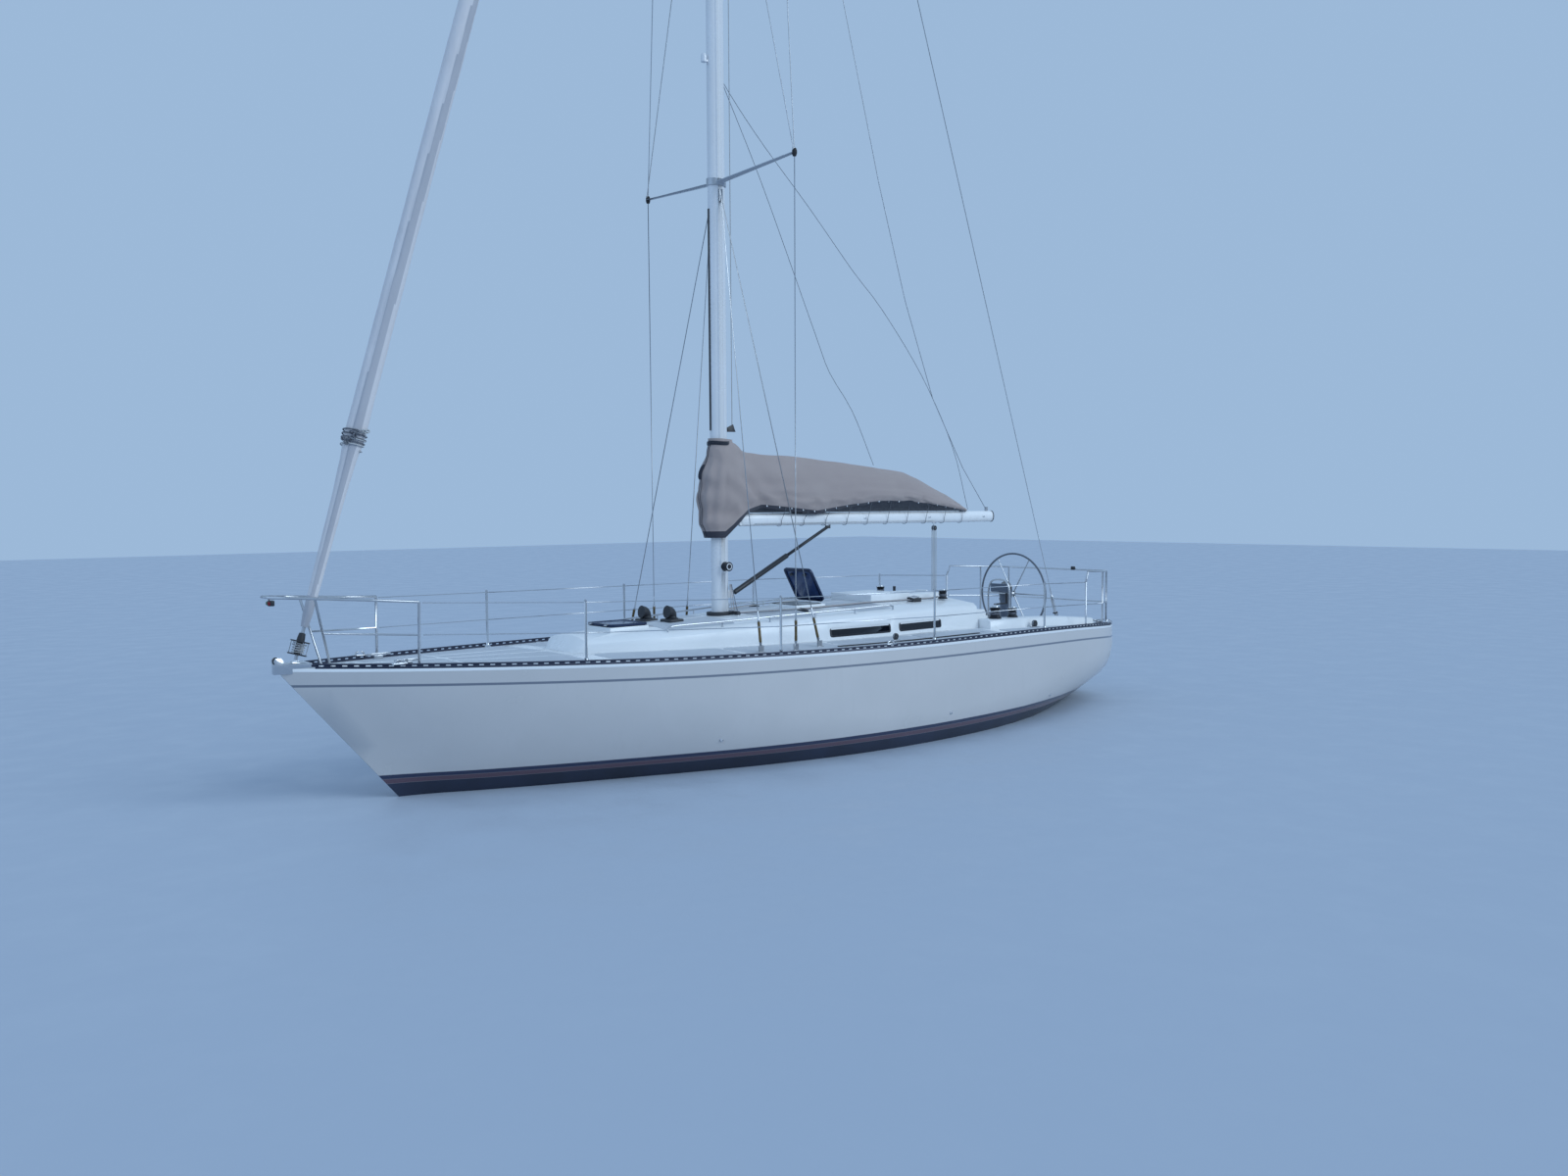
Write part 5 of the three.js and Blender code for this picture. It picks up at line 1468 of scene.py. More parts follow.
    def fastenings(self) -> None:
        """Builds the hooks along the hem, the shock cord under the boom, and the front's zip and strap."""
        hook = Shape()
        stud = mm(2, 0, 10, 0, 11, 3, 6, 7, 2, 8)
        hook.turned((0, 0, 0), stud, STEEL, 12, PORT)
        for side, part in ((Side.port, hook), (Side.starboard, hook.mirrored())):
            line = []
            for x in np.linspace(-3.24, 0.28, 60):
                line.append(self.point(float(x), 0.045, side.value) + PORT * (side.value * 0.002))
            studs = row(f"cover_studs_{side.name}", line, part, STEEL, self.hook_step / 2)
            mount(studs, f"cover_studs_{side.name}", "boom")
        cords = Shape()
        for x in np.arange(-3.24, 0.3, self.hook_step):
            a = self.point(float(x), 0.05, 1)
            half = [(x, a.y + 0.006, a.z), (x, a.y + 0.002, a.z - 0.03), (x, 0.062, 2.6), (x, 0.045, 2.535)]
            loop = [*half, (x, 0, 2.517), *((x, -y, z) for x, y, z in reversed(half))]
            cords.tube(smooth(loop, 0.02), 0.003, ROPE_DARK, 6)
        cords.piece("cover_shock_cords", "rope", "boom")
        zip_line, tooth, strap = Shape(), Shape(), Shape()
        path = [self.point(MAST_X + 0.02, h, 1, 1.0) + AHEAD * 0.004 for h in np.linspace(0.02, 0.98, 40)]
        for offset in (-0.016, 0.016):
            zip_line.tube([(p.x - 0.001, offset, p.z) for p in path], 0.003, CANVAS_DARK, 6)
        tooth.slab(0, 0, -0.0012, 0.0012, 0.003, 0.004, STEEL, 0.0005)
        mount(row("zip_teeth", path, tooth, STEEL, 0.011), "zip_teeth", YACHT)
        zip_line.piece("cover_zip", "cover_canvas")
        for z, r in ((3.462, 0.0075), (3.476, 0.009), (3.492, 0.0075)):
            ring = []
            for a in turns(64):
                reach = 0.139 if cos(a) > 0 else 0.146
                ring.append((MAST_X + reach * cos(a), 0.102 * sin(a), z + 0.003 * sin(3 * a)))
            strap.tube(ring, r, CANVAS_STRAP_AND_SHADE, 8, loop=True)
        flap = [p + AHEAD * 0.006 for p in path if 3.06 < p.z < 3.24]
        strap.tube(flap, [0.012, *[0.021] * (len(flap) - 2), 0.012], CANVAS_STRAP_AND_SHADE, 12)
        strap.piece("collar_strap", "cover_canvas")


@frozen
class Hatch:
    """A deck hatch: a dark rim round a smoked pane, on two hinges, with two handles below."""

    node: str
    body: str
    hinge: Pair
    reach: float
    half: float
    turn: float
    corner: float = 0.05
    rim: float = 0.034

    def build(self) -> None:
        """Builds the lid as it stands open at rest, and the seal that it shuts on."""
        x, z = self.hinge
        sign = copysign(1.0, self.reach)
        swing = Matrix.Rotation(radians(-sign * self.turn), 4, "Y")
        place = Matrix.Translation((x, 0, z)) @ swing @ Matrix.Diagonal((sign, 1, 1, 1))
        far = abs(self.reach)
        lid = Shape()
        outer = rounded(0.014, far, -self.half, self.half, self.corner)
        inner = rounded(0.014 + self.rim, far - self.rim, self.rim - self.half, self.half - self.rim, self.corner * 0.6)
        lid.rim(outer, inner, -0.013, 0.013, RIM, place)
        pane = rounded(
            0.01 + self.rim, far - self.rim + 0.004, self.rim - self.half - 0.004, self.half - self.rim + 0.004, 0.03,
        )
        lid.plate(pane, -0.004, 0.0095, 0.003, ACRYLIC, place)
        for side in (-1, 1):
            lid.block((0.002, side * 0.15 - 0.024, -0.007), (0.04, side * 0.15 + 0.024, 0.008), STEEL, 0.003, place)
            ends = [place @ Vector((0.005, side * 0.15 + d, 0)) for d in (-0.03, 0.03)]
            lid.tube(ends, 0.0065, STEEL, 12)
            grip = place @ Vector((far - 0.075, side * 0.12, -0.012))
            lid.turned(grip, mm(14, -4, 16, 4, 12, 16), BLACK, 16, axis=place.to_3x3() @ UP * -1)
            lid.block(
                (far - 0.09, side * 0.12 - 0.03, -0.033), (far - 0.06, side * 0.12 + 0.03, -0.026), BLACK, 0.003, place,
            )
        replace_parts(lid.piece(f"{self.body}_lid_framed", "smoked_acrylic", self.body), self.node)
        seal = Shape()
        low, high = sorted((x + sign * 0.03, x + self.reach - sign * 0.014))
        ring = rounded(low, high, 0.016 - self.half, self.half - 0.016, 0.04)
        bore = rounded(low + 0.014, high - 0.014, 0.03 - self.half, self.half - 0.03, 0.03)
        seal.rim(ring, bore, z - 0.0195, z - 0.0145, RUBBER)
        seal.piece(f"{self.body}_seal", "black_fitting")


HATCHES = (
    Hatch("mid_hatch_lid", "mid_hatch", (-0.52, 1.594), 0.47, 0.25, 60.0),
    Hatch("fore_hatch_lid", "fore_hatch", (2.56, 1.504), -0.49, 0.245, 0.0),
)


@frozen
class Winch:
    """A self-tailing winch on its pad, with turns of line on its drum."""

    name: str
    x: float
    y: float
    z: float
    radius: float
    height: float
    turns: int = 3
    handle: float = 0.0
    profile: Pairs = (
        (0.5, 0), (1.0, 0), (1.0, 0.06), (0.9, 0.1), (0.86, 0.2), (0.72, 0.24), (0.68, 0.3), (0.66, 0.45),
        (0.68, 0.58), (0.8, 0.66), (0.9, 0.68), (0.9, 0.72), (0.76, 0.75), (0.76, 0.79), (0.9, 0.82), (0.9, 0.87),
        (0.6, 0.91), (0.55, 0.96), (0.3, 0.98), (0.12, 0.98),
    )

    def build(self) -> None:
        """Builds the winch on both sides."""
        low = [(r * self.radius, h * self.height) for r, h in self.profile]
        for side in Side:
            shape = Shape()
            foot = Vector((self.x, side.value * self.y, self.z))
            shape.turned(foot, low[:16], WINCH, 40)
            shape.turned(foot, low[15:], CHROME, 32)
            top, mid = self.z + self.height * 0.85, 0.7 * self.radius
            shape.slab(self.x + mid, foot.y, top, top + 0.006, 0.3 * self.radius, 0.006, CHROME, 0.002)
            coil, r = [], self.radius * 0.68 + 0.005
            for i in range(self.turns * 24 + 1):
                a, lift = 2 * pi * i / 24, self.height * 0.3 + 0.0105 * i / 24
                coil.append(foot + Vector((r * cos(a), r * sin(a) * side.value, lift)))
            shape.tube(coil, 0.005, ROPE_DARK, 8)
            if self.handle:
                hub = foot + UP * (self.height * 0.98)
                end = hub + Vector((-self.handle, 0, 0.022))
                shape.tube([hub, hub + UP * 0.02], [0.014, 0.016], CHROME, 16)
                shape.tube([hub + Vector((0.012, 0, 0.018)), end], [0.012, 0.009], BLACK, 12)
                shape.tube([end - UP * 0.012, end + UP * 0.13], [0.017, 0.021], BLACK, 16)
            piece = shape.piece(f"{self.name}_drum_{side.name}", "winch_metal")
            if f"{self.name}_{side.name}" in frame["nodes"]:
                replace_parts(piece, f"{self.name}_{side.name}")


WINCHES = (
    Winch("primary_winch", -2.79, 1.01, 1.301, 0.082, 0.165, handle=0.23),
    Winch("halyard_winch", -2.29, 0.56, 1.556, 0.062, 0.125),
    Winch("secondary_winch", -3.14, 1.01, 1.291, 0.072, 0.145),
)


@frozen
class Pads:
    """Moulded non-slip panels: start, end, clearance from the centre or cabin, and from the edge."""

    lift: float = 0.004
    steps: int = 44
    lanes: int = 16
    corner: float = 0.05
    deck: Table = (
        (3.2, 4.32, 0.03, 0.12), (4.36, 5.12, 0.03, 0.13), (1.55, 2.95, -0.08, 0.12), (0.22, 1.5, -0.08, 0.12),
        (-1.1, 0.17, -0.08, 0.12), (-2.42, -1.15, -0.08, 0.12), (-3.42, -2.6, 1.21, 0.12), (-4.3, -3.47, 1.15, 0.12),
        (-5.38, -5.06, 0.03, 0.14),
    )
    roof: Table = ((1.12, 1.98, 0.03, 0.19), (0.02, 0.66, 0.03, 0.19), (-1.14, -0.57, 0.03, 0.19))

    def wall(self, x: float) -> float:
        """Gives the cabin's side at a place along the boat."""
        return ROOF.side(min(x, 2.78), 1.36) + 0.012

    def panel(self, shape: Shape, ground: Ground, x0: float, x1: float, inner: float, outer: float) -> None:
        """Adds one panel that follows the surface.

        Args:
            shape: The shape added to.
            ground: The surface.
            x0: One end.
            x1: Other end.
            inner: Clearance from the centre, or below zero from the cabin.
            outer: Clearance from the surface's edge.
        """
        rings = []
        for i in range(self.steps + 1):
            x = x0 + (x1 - x0) * i / self.steps
            end = min(i, self.steps - i) / self.steps * abs(x1 - x0)
            draw = self.corner - sqrt(max(self.corner**2 - max(self.corner - end, 0) ** 2, 0.0))
            a = (inner if inner > 0 else self.wall(x) - inner) + draw
            b = (EDGE.half(x) if ground is DECK else self.wall(x)) - outer - draw
            across = [a + (b - a) * j / self.lanes for j in range(self.lanes + 1)]
            line = [Vector((x, y, ground.height(x, y))) for y in across]
            rings.append([*(p + UP * self.lift for p in line), *(p - UP * 0.003 for p in reversed(line))])
        shape.rings(rings, GRIP)

    def build(self) -> None:
        """Builds the deck's and the roof's panels on both sides, and the locker lids'."""
        shape = Shape()
        for ground, panels in ((DECK, self.deck), (ROOF, self.roof)):
            for spans in panels:
                self.panel(shape, ground, *spans)
        shape.mirrored(True).piece("non_slip_panels", "deck_gelcoat")
        for side in Side:
            low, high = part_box(f"locker_lid_{side.name}")
            lid = Shape()
            seat = rounded(low[0] + 0.05, high[0] - 0.05, low[1] + 0.05, high[1] - 0.05, 0.04)
            lid.plate(seat, high[2] - 0.003, high[2] + 0.003, 0.001, GRIP)
            lid.piece(f"seat_panel_{side.name}", "deck_gelcoat", f"locker_{side.name}")


def led(ground: Ground, spots: Pairs, lift: float) -> list[Vector]:
    """Gives a line that follows a surface through places on it.

    Args:
        ground: The surface.
        spots: Places passed through.
        lift: Height over the surface.

    Returns:
        The line.
    """
    line = []
    for (x0, y0), (x1, y1) in zip(spots, spots[1:]):
        count = max(2, int(hypot(x1 - x0, y1 - y0) / 0.08))
        line += [(x0 + (x1 - x0) * i / count, y0 + (y1 - y0) * i / count) for i in range(count)]
    return [Vector((x, y, ground.height(x, y) + lift)) for x, y in (*line, spots[-1])]


def pulley(shape: Shape, centre: Sequence[float], axle: Sequence[float], radius: float, wide: float = 0.016) -> None:
    """Adds a block: two cheeks round a sheave, on a steel pin.

    Args:
        shape: The shape added to.
        centre: The sheave's middle.
        axle: The pin's direction.
        radius: The cheeks' radius.
        wide: Distance between the cheeks' outer faces.
    """
    pin = Vector(axle).normalized()
    start = Vector(centre) - pin * (wide / 2)
    cheek = [
        (0.004, 0), (radius * 0.8, 0.0), (radius, 0.0015), (radius, 0.003), (radius * 0.6, 0.0035), (0.004, 0.0035),
    ]
    shape.turned(start, cheek, BLACK, 20, pin)
    shape.turned(start + pin * (wide - 0.0035), cheek, BLACK, 20, pin)
    half = wide / 2
    sheave = [
        (0.003, 0.004), (radius * 0.85, 0.004), (radius * 0.7, half), (radius * 0.85, wide - 0.004),
        (0.003, wide - 0.004),
    ]
    shape.turned(start, sheave, ALLOY, 20, pin)
    shape.turned(
        start - pin * 0.002, [(0.001, 0), (0.005, 0), (0.005, wide + 0.004), (0.001, wide + 0.004)], STEEL, 10, pin,
    )


@frozen
class RoofGear:
    """What stands on the cabin's roof: rails, led lines, clutches, vents and window frames."""

    rail_feet: tuple[float, ...] = (1.95, 1.35, 0.75, 0.15, -0.45, -1.0)
    leads: Table = ((0.15, 0.4, 0.46), (0.19, 0.44, 0.5), (0.23, 0.48, 0.54))
    vents: Pairs = ((1.7, -0.33), (1.62, 0.05))
    windows: Table = ((-0.89, 0.0, 1.268, 1.336), (-1.79, -1.07, 1.268, 1.336))

    def rails(self) -> Shape:
        """Builds the port hand rail."""
        shape = Shape()
        spots = [(x, ROOF.side(x, 1.36) - 0.1) for x in self.rail_feet]
        top = [Vector((x, y, ROOF.height(x, y) + 0.055)) for x, y in spots]
        ends = [top[0] + Vector((0.05, 0, -0.058)), *top, top[-1] + Vector((-0.05, 0, -0.058))]
        shape.tube(smooth(ends, 0.03), 0.011, STEEL, 12)
        for p in top[1:-1]:
            shape.tube([p - UP * 0.06, p], 0.008, STEEL, 10)
            shape.turned(p - UP * 0.059, mm(10, 0, 24, 0, 24, 3, 10, 6), STEEL, 16)
        return shape

    def lines(self) -> Shape:
        """Builds the port halyards from the mast's foot to the winch, with organiser and clutches."""
        shape = Shape()
        for (start, middle, end), rope in zip(self.leads, (ROPE, ROPE_RED, ROPE_DARK)):
            spots = [
                (0.86 - start * 0.2, start), (0.02, middle), (-1.66, end), (-2.0, end),
                (-2.22, 0.54 + (end - 0.5) * 0.3),
            ]
            path = led(ROOF, spots, 0.026)
            path[-1].z += 0.02
            up = Vector((0.86 - start * 0.3, 0.075, 1.86))
            shape.tube([up, path[0] + Vector((0.01, -0.005, 0.02)), *path], 0.005, rope, 8)
            foot = path[0] - UP * 0.004
            pulley(shape, foot + UP * 0.004, (0.3, 1, 0), 0.024)
            shape.slab(foot.x, foot.y, foot.z - 0.024, foot.z - 0.012, 0.012, 0.01, STEEL, 0.002)
            pulley(shape, (0.02, middle + 0.012, ROOF.height(0.02, middle) + 0.026), UP, 0.017, 0.014)
            z = ROOF.height(-1.8, end)
            shape.block((-1.9, end - 0.017, z - 0.002), (-1.74, end + 0.017, z + 0.045), BLACK, 0.006)
            lever = Matrix.Translation((-1.75, end, z + 0.048)) @ Matrix.Rotation(radians(6), 4, "Y")
            shape.block((-0.12, -0.012, -0.004), (0.0, 0.012, 0.005), ALLOY, 0.003, lever)
        z = ROOF.height(0.02, 0.45)
        shape.plate(rounded(-0.015, 0.055, 0.37, 0.53, 0.03), z - 0.006, z + 0.017, 0.003, BLACK)
        return shape

    def frames(self) -> Shape:
        """Builds the port windows' frames."""
        shape = Shape()
        for x0, x1, z0, z1 in self.windows:
            outer = rounded(x0 - 0.02, x1 + 0.02, z0 - 0.018, z1 + 0.018, 0.03)
            inner = rounded(x0 + 0.003, x1 - 0.003, z0 + 0.003, z1 - 0.003, 0.014)
            rings = []
            for (ox, oz), (ix, iz) in zip(outer, inner):
                wall = ROOF.side(ox, oz)
                lean = (wall - ROOF.side(ox, oz - 0.02)) / 0.02
                hole = wall + lean * (iz - oz)
                rings.append(
                    [
                        Vector((ox, wall - 0.002, oz)), Vector((ox, wall + 0.004, oz)), Vector((ix, hole + 0.006, iz)),
                        Vector((ix, hole - 0.004, iz)),
                    ]
                )
            shape.rings(rings, FRAME, caps=False)
        return shape

    def build(self) -> None:
        """Builds the roof's gear on both sides."""
        for name, slot, made in (
            ("hand_rails", "stainless", self.rails()),
            ("led_lines", "rope", self.lines()),
            ("window_frames", "black_fitting", self.frames()),
        ):
            made.mirrored(True).piece(name, slot)
        vents = Shape()
        for x, y in self.vents:
            z = ROOF.height(x, y)
            vents.slab(x, y, z - 0.02, z + 0.03, 0.1, 0.1, BLACK, 0.012)
            vents.turned((x, y, z + 0.026), mm(30, 0, 72, 0, 72, 12, 56, 20, 52, 45), BLACK, 24)
            bend = smooth(
                [(x, y, z + 0.05), (x + 0.002, y, z + 0.075), (x + 0.028, y, z + 0.104), (x + 0.07, y, z + 0.112)],
                0.008,
            )
            vents.tube(bend, [0.05 + 0.022 * i / len(bend) for i in range(len(bend))], BLACK, 24)
        vents.piece("roof_vents", "black_fitting")


@frozen
class DeckGear:
    """What stands on the deck: tracks and cars, fairleads, bases, fillers, lights and the anchor locker's lid."""

    track: Pair = (0.3, -2.05)
    cars: tuple[float, ...] = (-0.55,)
    turning: Pair = (-3.36, 1.2)
    stanchions: tuple[float, ...] = (3.33, 1.24, -0.95, -3.2)
    chocks: tuple[float, ...] = (4.98, -0.2, -5.1)
    fillers: Pairs = ((-2.2, 1.3), (2.6, 1.18), (-4.6, 1.18))

    def side(self) -> Shape:
        """Builds the port side's gear."""
        shape = Shape()
        spots = [(x, EDGE.half(x) - 0.3) for x in np.linspace(*self.track, 24)]
        line = led(DECK, spots, 0.0)
        rings = []
        for p in line:
            section = mm(-10, -3, -10, 8, -16, 9, -16, 15, 16, 15, 16, 9, 10, 8, 10, -3)
            rings.append([p + Vector((0, a, b)) for a, b in section])
        shape.rings(rings, BLACK)
        for x in self.cars:
            y = EDGE.half(x) - 0.3
            z = DECK.height(x, y)
            shape.slab(x, y, z + 0.01, z + 0.032, 0.055, 0.024, ALLOY, 0.005)
            pulley(shape, (x, y, z + 0.068), PORT, 0.038, 0.022)
        x, y = self.turning
        z = DECK.height(x, y)
        shape.slab(x, y, z - 0.003, z + 0.012, 0.07, 0.03, ALLOY, 0.004)
        pulley(shape, (x, y, z + 0.05), PORT, 0.046, 0.026)
        for x in self.chocks:
            y = EDGE.half(x) - 0.017
            z = EDGE.height(x) + 0.068
            shape.slab(x, y, z, z + 0.012, 0.075, 0.022, STEEL, 0.004)
            for end in (-0.05, 0.05):
                shape.tube(
                    [(x + end, y, z + 0.008), (x + end * 0.7, y, z + 0.034), (x + end * 0.3, y, z + 0.04)], 0.009,
                    STEEL, 12,
                )
        for x in self.stanchions:
            y = EDGE.half(x) - 0.075
            z = DECK.height(x, y - 0.03)
            shape.turned((x, y, z - 0.003), mm(20, 0, 43, 0, 43, 6, 34, 10, 21, 30), STEEL, 24)
            shape.turned((x, y, z + 0.608), mm(4, 0, 13.5, 0, 13.5, 10, 8, 16, 3, 18), STEEL, 12)
        for x, y in self.fillers:
            z = DECK.height(x, y)
            cap = mm(10, -6, 38, -6, 38, 7, 26, 9, 24, 7, 4, 7)
            shape.turned((x, y, z), cap, STEEL, 28)
        return shape

    def bow(self) -> None:
        """Builds the anchor locker's lid, the roller and the bow light."""
        shape = Shape()
        z = DECK.height(5.3, 0)
        lid = mm(5460, 70, 5400, 100, 5240, 180, 5200, 170, 5200, -170, 5240, -180, 5400, -100, 5460, -70)
        tilt = atan2(DECK.height(5.45, 0) - DECK.height(5.2, 0), 0.25)
        place = Matrix.Translation((5.3, 0, z)) @ Matrix.Rotation(-tilt, 4, "Y") @ Matrix.Translation((-5.3, 0, 0))
        shape.plate(lid, -0.004, 0.008, 0.003, GELCOAT, place)
        shape.turned(place @ Vector((5.24, 0, 0.006)), mm(5, 0, 22, 0, 22, 4, 5, 5), STEEL, 20)
        shape.turned((5.93, -0.028, 1.405), mm(6, 0, 26, 0, 18, 28, 26, 56, 6, 56), BLACK, 24, PORT)
        for side in (-1, 1):
            cheek = mm(5860, 1372, 5955, 1372, 5965, 1400, 5950, 1425, 5900, 1425)
            upright = Matrix(((1, 0, 0, 0), (0, 0, 1, side * 0.034 - 0.003), (0, 1, 0, 0), (0, 0, 0, 1)))
            shape.plate(cheek, 0.0, 0.006, 0.001, STEEL, upright)
        shape.piece("bow_fittings", "stainless")
        light = Shape()
        light.block((5.935, -0.035, 1.895), (5.985, 0.035, 1.945), BLACK, 0.008)
        light.block((5.97, 0.002, 1.903), (5.997, 0.034, 1.937), LENS_RED, 0.008)
        light.block((5.97, -0.034, 1.903), (5.997, -0.002, 1.937), LENS_GREEN, 0.008)
        light.tube([(5.96, 0, 1.94), (5.99, 0, 1.972)], 0.008, STEEL, 10)
        light.piece("bow_light", "black_fitting")

    def build(self) -> None:
        """Builds the deck's gear."""
        made = self.side()
        made.mirrored(True).piece("deck_fittings", "stainless")
        self.bow()


@frozen
class Rig:
    """Small pieces of the rig: turnbuckles, spreader tips, masthead gear, lazy lines and blocks."""

    feet: Pairs = ((0.9, 1.32), (1.32, 1.24), (0.48, 1.24))
    lazy: tuple[Pairs, ...] = (
        mm(
            785, 7530, 570, 7300, 180, 6930, -530, 6320, -1240, 5670, -1760, 5240, -2500, 4450, -3100, 3550,
            -3420, 2700,
        ),
        mm(785, 7500, 200, 6450, -600, 4850, -840, 4390, -1230, 3930, -1600, 3270),
    )

    def turnbuckles(self) -> Shape:
        """Builds the port shrouds' turnbuckles over their plates."""
        shape = Shape()
        tops = {0.9: Vector((0.9, 1.339, 6.459)), 1.32: Vector((0.9, 0.087, 6.249)), 0.48: Vector((0.9, 0.087, 6.249))}
        for x, y in self.feet:
            foot = Vector((x, y, DECK.height(x, y - 0.05) + 0.01))
            along = (tops[x] - foot).normalized()
            body = mm(4, 0, 14, 0, 15.5, 20, 15.5, 50, 14.5, 60, 14.5, 180, 15.5, 190, 15.5, 215, 12, 220, 4, 220)
            shape.turned(foot + along * 0.095, body, BRONZE, 12, along)
            shape.turned(foot + along * 0.31, mm(5, 0, 9.5, 0, 9.5, 100, 6, 120, 4.5, 120), STEEL, 12, along)
            for d in (0.05, 0.085):
                shape.tube(
                    [foot + along * d - Vector((0, 0.02, 0)), foot + along * d + Vector((0, 0.02, 0))], 0.006, STEEL,
                    10,
                )
            base = foot - UP * 0.009
            shape.plate(rounded(-0.05, 0.05, -0.02, 0.02, 0.012), 0, 0.005, 0.001, STEEL, Matrix.Translation(base))
        return shape

    def aloft(self) -> None:
        """Builds the spreaders' boots, the sail track and the masthead's instruments."""
        shape = Shape()
        for z, span in ((6.459, 1.339), (11.5, 1.018)):
            for side in (-1, 1):
                p = Vector((MAST_X, side * span, z))
                shape.turned(p - UP * 0.045, mm(6, 0, 18, 4, 27, 30, 27, 60, 18, 86, 6, 90), RUBBER, 16)
        drum = mm(30, 0, 54, 0, 54, 12, 49.5, 16, 44.5, 72, 54, 78, 54, 83, 20, 89.5)
        shape.turned((MAST_X - 0.01, 0.08, 2.07), drum, WINCH, 32, PORT)
        shape.block((0.781, -0.008, 3.6), (0.7895, 0.008, 17.2), ALLOY, 0.002)
        shape.block((1.0105, -0.013, 3.62), (1.019, 0.013, 6.1), BLACK, 0.002)
        shape.plate(mm(655, 3615, 775, 3612, 775, 3660, 690, 3700), -0.01, 0.01, 0.003, BLACK, UPRIGHT)
        shape.tube([(0.7, 0, 3.685), (0.7, 0, 9.0), (0.69, 0, 17.335)], 0.005, ROPE, 8)
        top = 17.446
        shape.turned((0.95, 0, top), mm(10, 0, 35, 0, 35, 20, 28, 26), BLACK, 20)
        shape.turned((0.95, 0, top + 0.024), mm(28, 0, 30, 4, 30, 60, 20, 75, 4, 78), LENS_CLEAR, 20)
        shape.tube([(0.66, 0.03, top - 0.01), (0.66, 0.03, top + 0.17)], [0.008, 0.003], BLACK, 8)
        shape.tube([(1.04, 0, top - 0.01), (1.065, 0, top + 0.05), (1.065, 0, top + 0.13)], 0.006, BLACK, 8)
        shape.tube([(0.98, 0.06, top + 0.12), (1.15, -0.06, top + 0.12)], 0.0035, BLACK, 8)
        shape.piece("mast_fittings", "black_fitting")

    def lines(self) -> None:
        """Builds the lazy lines and the boom's end fittings."""
        shape = Shape()
        for path in self.lazy:
            shape.tube(smooth([(x, 0.0, z) for x, z in path], 0.25), 0.0032, ROPE_DARK, 6)
        shape.plate(
            [(0.079 * cos(a), 0.053 * sin(a)) for a in np.linspace(0, 2 * pi, 28)[:-1]], 0.0, 0.02, 0.004, BLACK,
            Matrix(((0, 0, -1, -3.9), (0, 1, 0, 0), (1, 0, 0, 2.6), (0, 0, 0, 1))),
        )
        for x in (-0.79, -2.74):
            shape.slab(x, 0, 2.512, 2.528, 0.03, 0.014, STEEL, 0.003)
        for x in (-3.7, -2.6, -1.4):
            for side in (-1, 1):
                shape.slab(x, side * 0.05, 2.59, 2.605, 0.02, 0.005, STEEL, 0.002)
        shape.block((-2.7, 0.036, 2.55), (0.4, 0.044, 2.556), ROPE, 0.002)
        shape.piece("boom_fittings", "black_fitting", "boom")

    def build(self) -> None:
        """Builds the rig's small pieces."""
        made = self.turnbuckles()
        made.mirrored(True).piece("turnbuckles", "stainless")
        self.aloft()
        self.lines()


@frozen
class Mainsheet:
    """The traveller's beam with its car, and the tackle up to the boom."""

    x: float = -2.74
    half: float = 0.86
    deck: float = 1.046
    top: float = 2.503

    def build(self) -> None:
        """Builds the traveller and the tackle."""
        shape = Shape()
        x = self.x
        shape.slab(x, 0, 1.01, 1.034, 0.03, self.half, ALLOY, 0.004)
        shape.block((x - 0.016, -self.half + 0.03, 1.034), (x + 0.016, self.half - 0.03, self.deck), BLACK, 0.003)
        for side in (-1, 1):
            y = side * 0.83
            shape.slab(x, y, 0.951, 1.012, 0.026, 0.03, BLACK, 0.006)
            shape.slab(x, side * 0.8, self.deck - 0.004, self.deck + 0.022, 0.03, 0.02, BLACK, 0.006)
            pulley(shape, (x, side * 0.795, self.deck + 0.032), UP, 0.024)
            shape.tube(
                [(x + 0.012, side * 0.79, self.deck + 0.032), (x + 0.02, side * 0.07, self.deck + 0.03)], 0.004,
                ROPE_RED, 8,
            )
        shape.slab(x, 0, self.deck + 0.001, self.deck + 0.024, 0.042, 0.07, BLACK, 0.006)
        low, high = self.deck + 0.075, self.top - 0.05
        for z in (low, high):
            for offset in (-0.012, 0.012):
                pulley(shape, (x, offset, z), PORT, 0.032, 0.02)
        for z0, z1 in ((self.deck + 0.02, low), (high, self.top)):
            shape.slab(x, 0, z0, z1, 0.008, 0.016, STEEL, 0.003)
        for dx, dy in ((0.026, 0.012), (-0.026, 0.012), (0.026, -0.012), (-0.026, -0.012)):
            shape.tube([(x + dx, dy, low + 0.01), (x + dx, dy, high - 0.01)], 0.005, ROPE, 8)
        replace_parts(shape.piece("mainsheet_tackle", "rope"), "mainsheet_traveller")


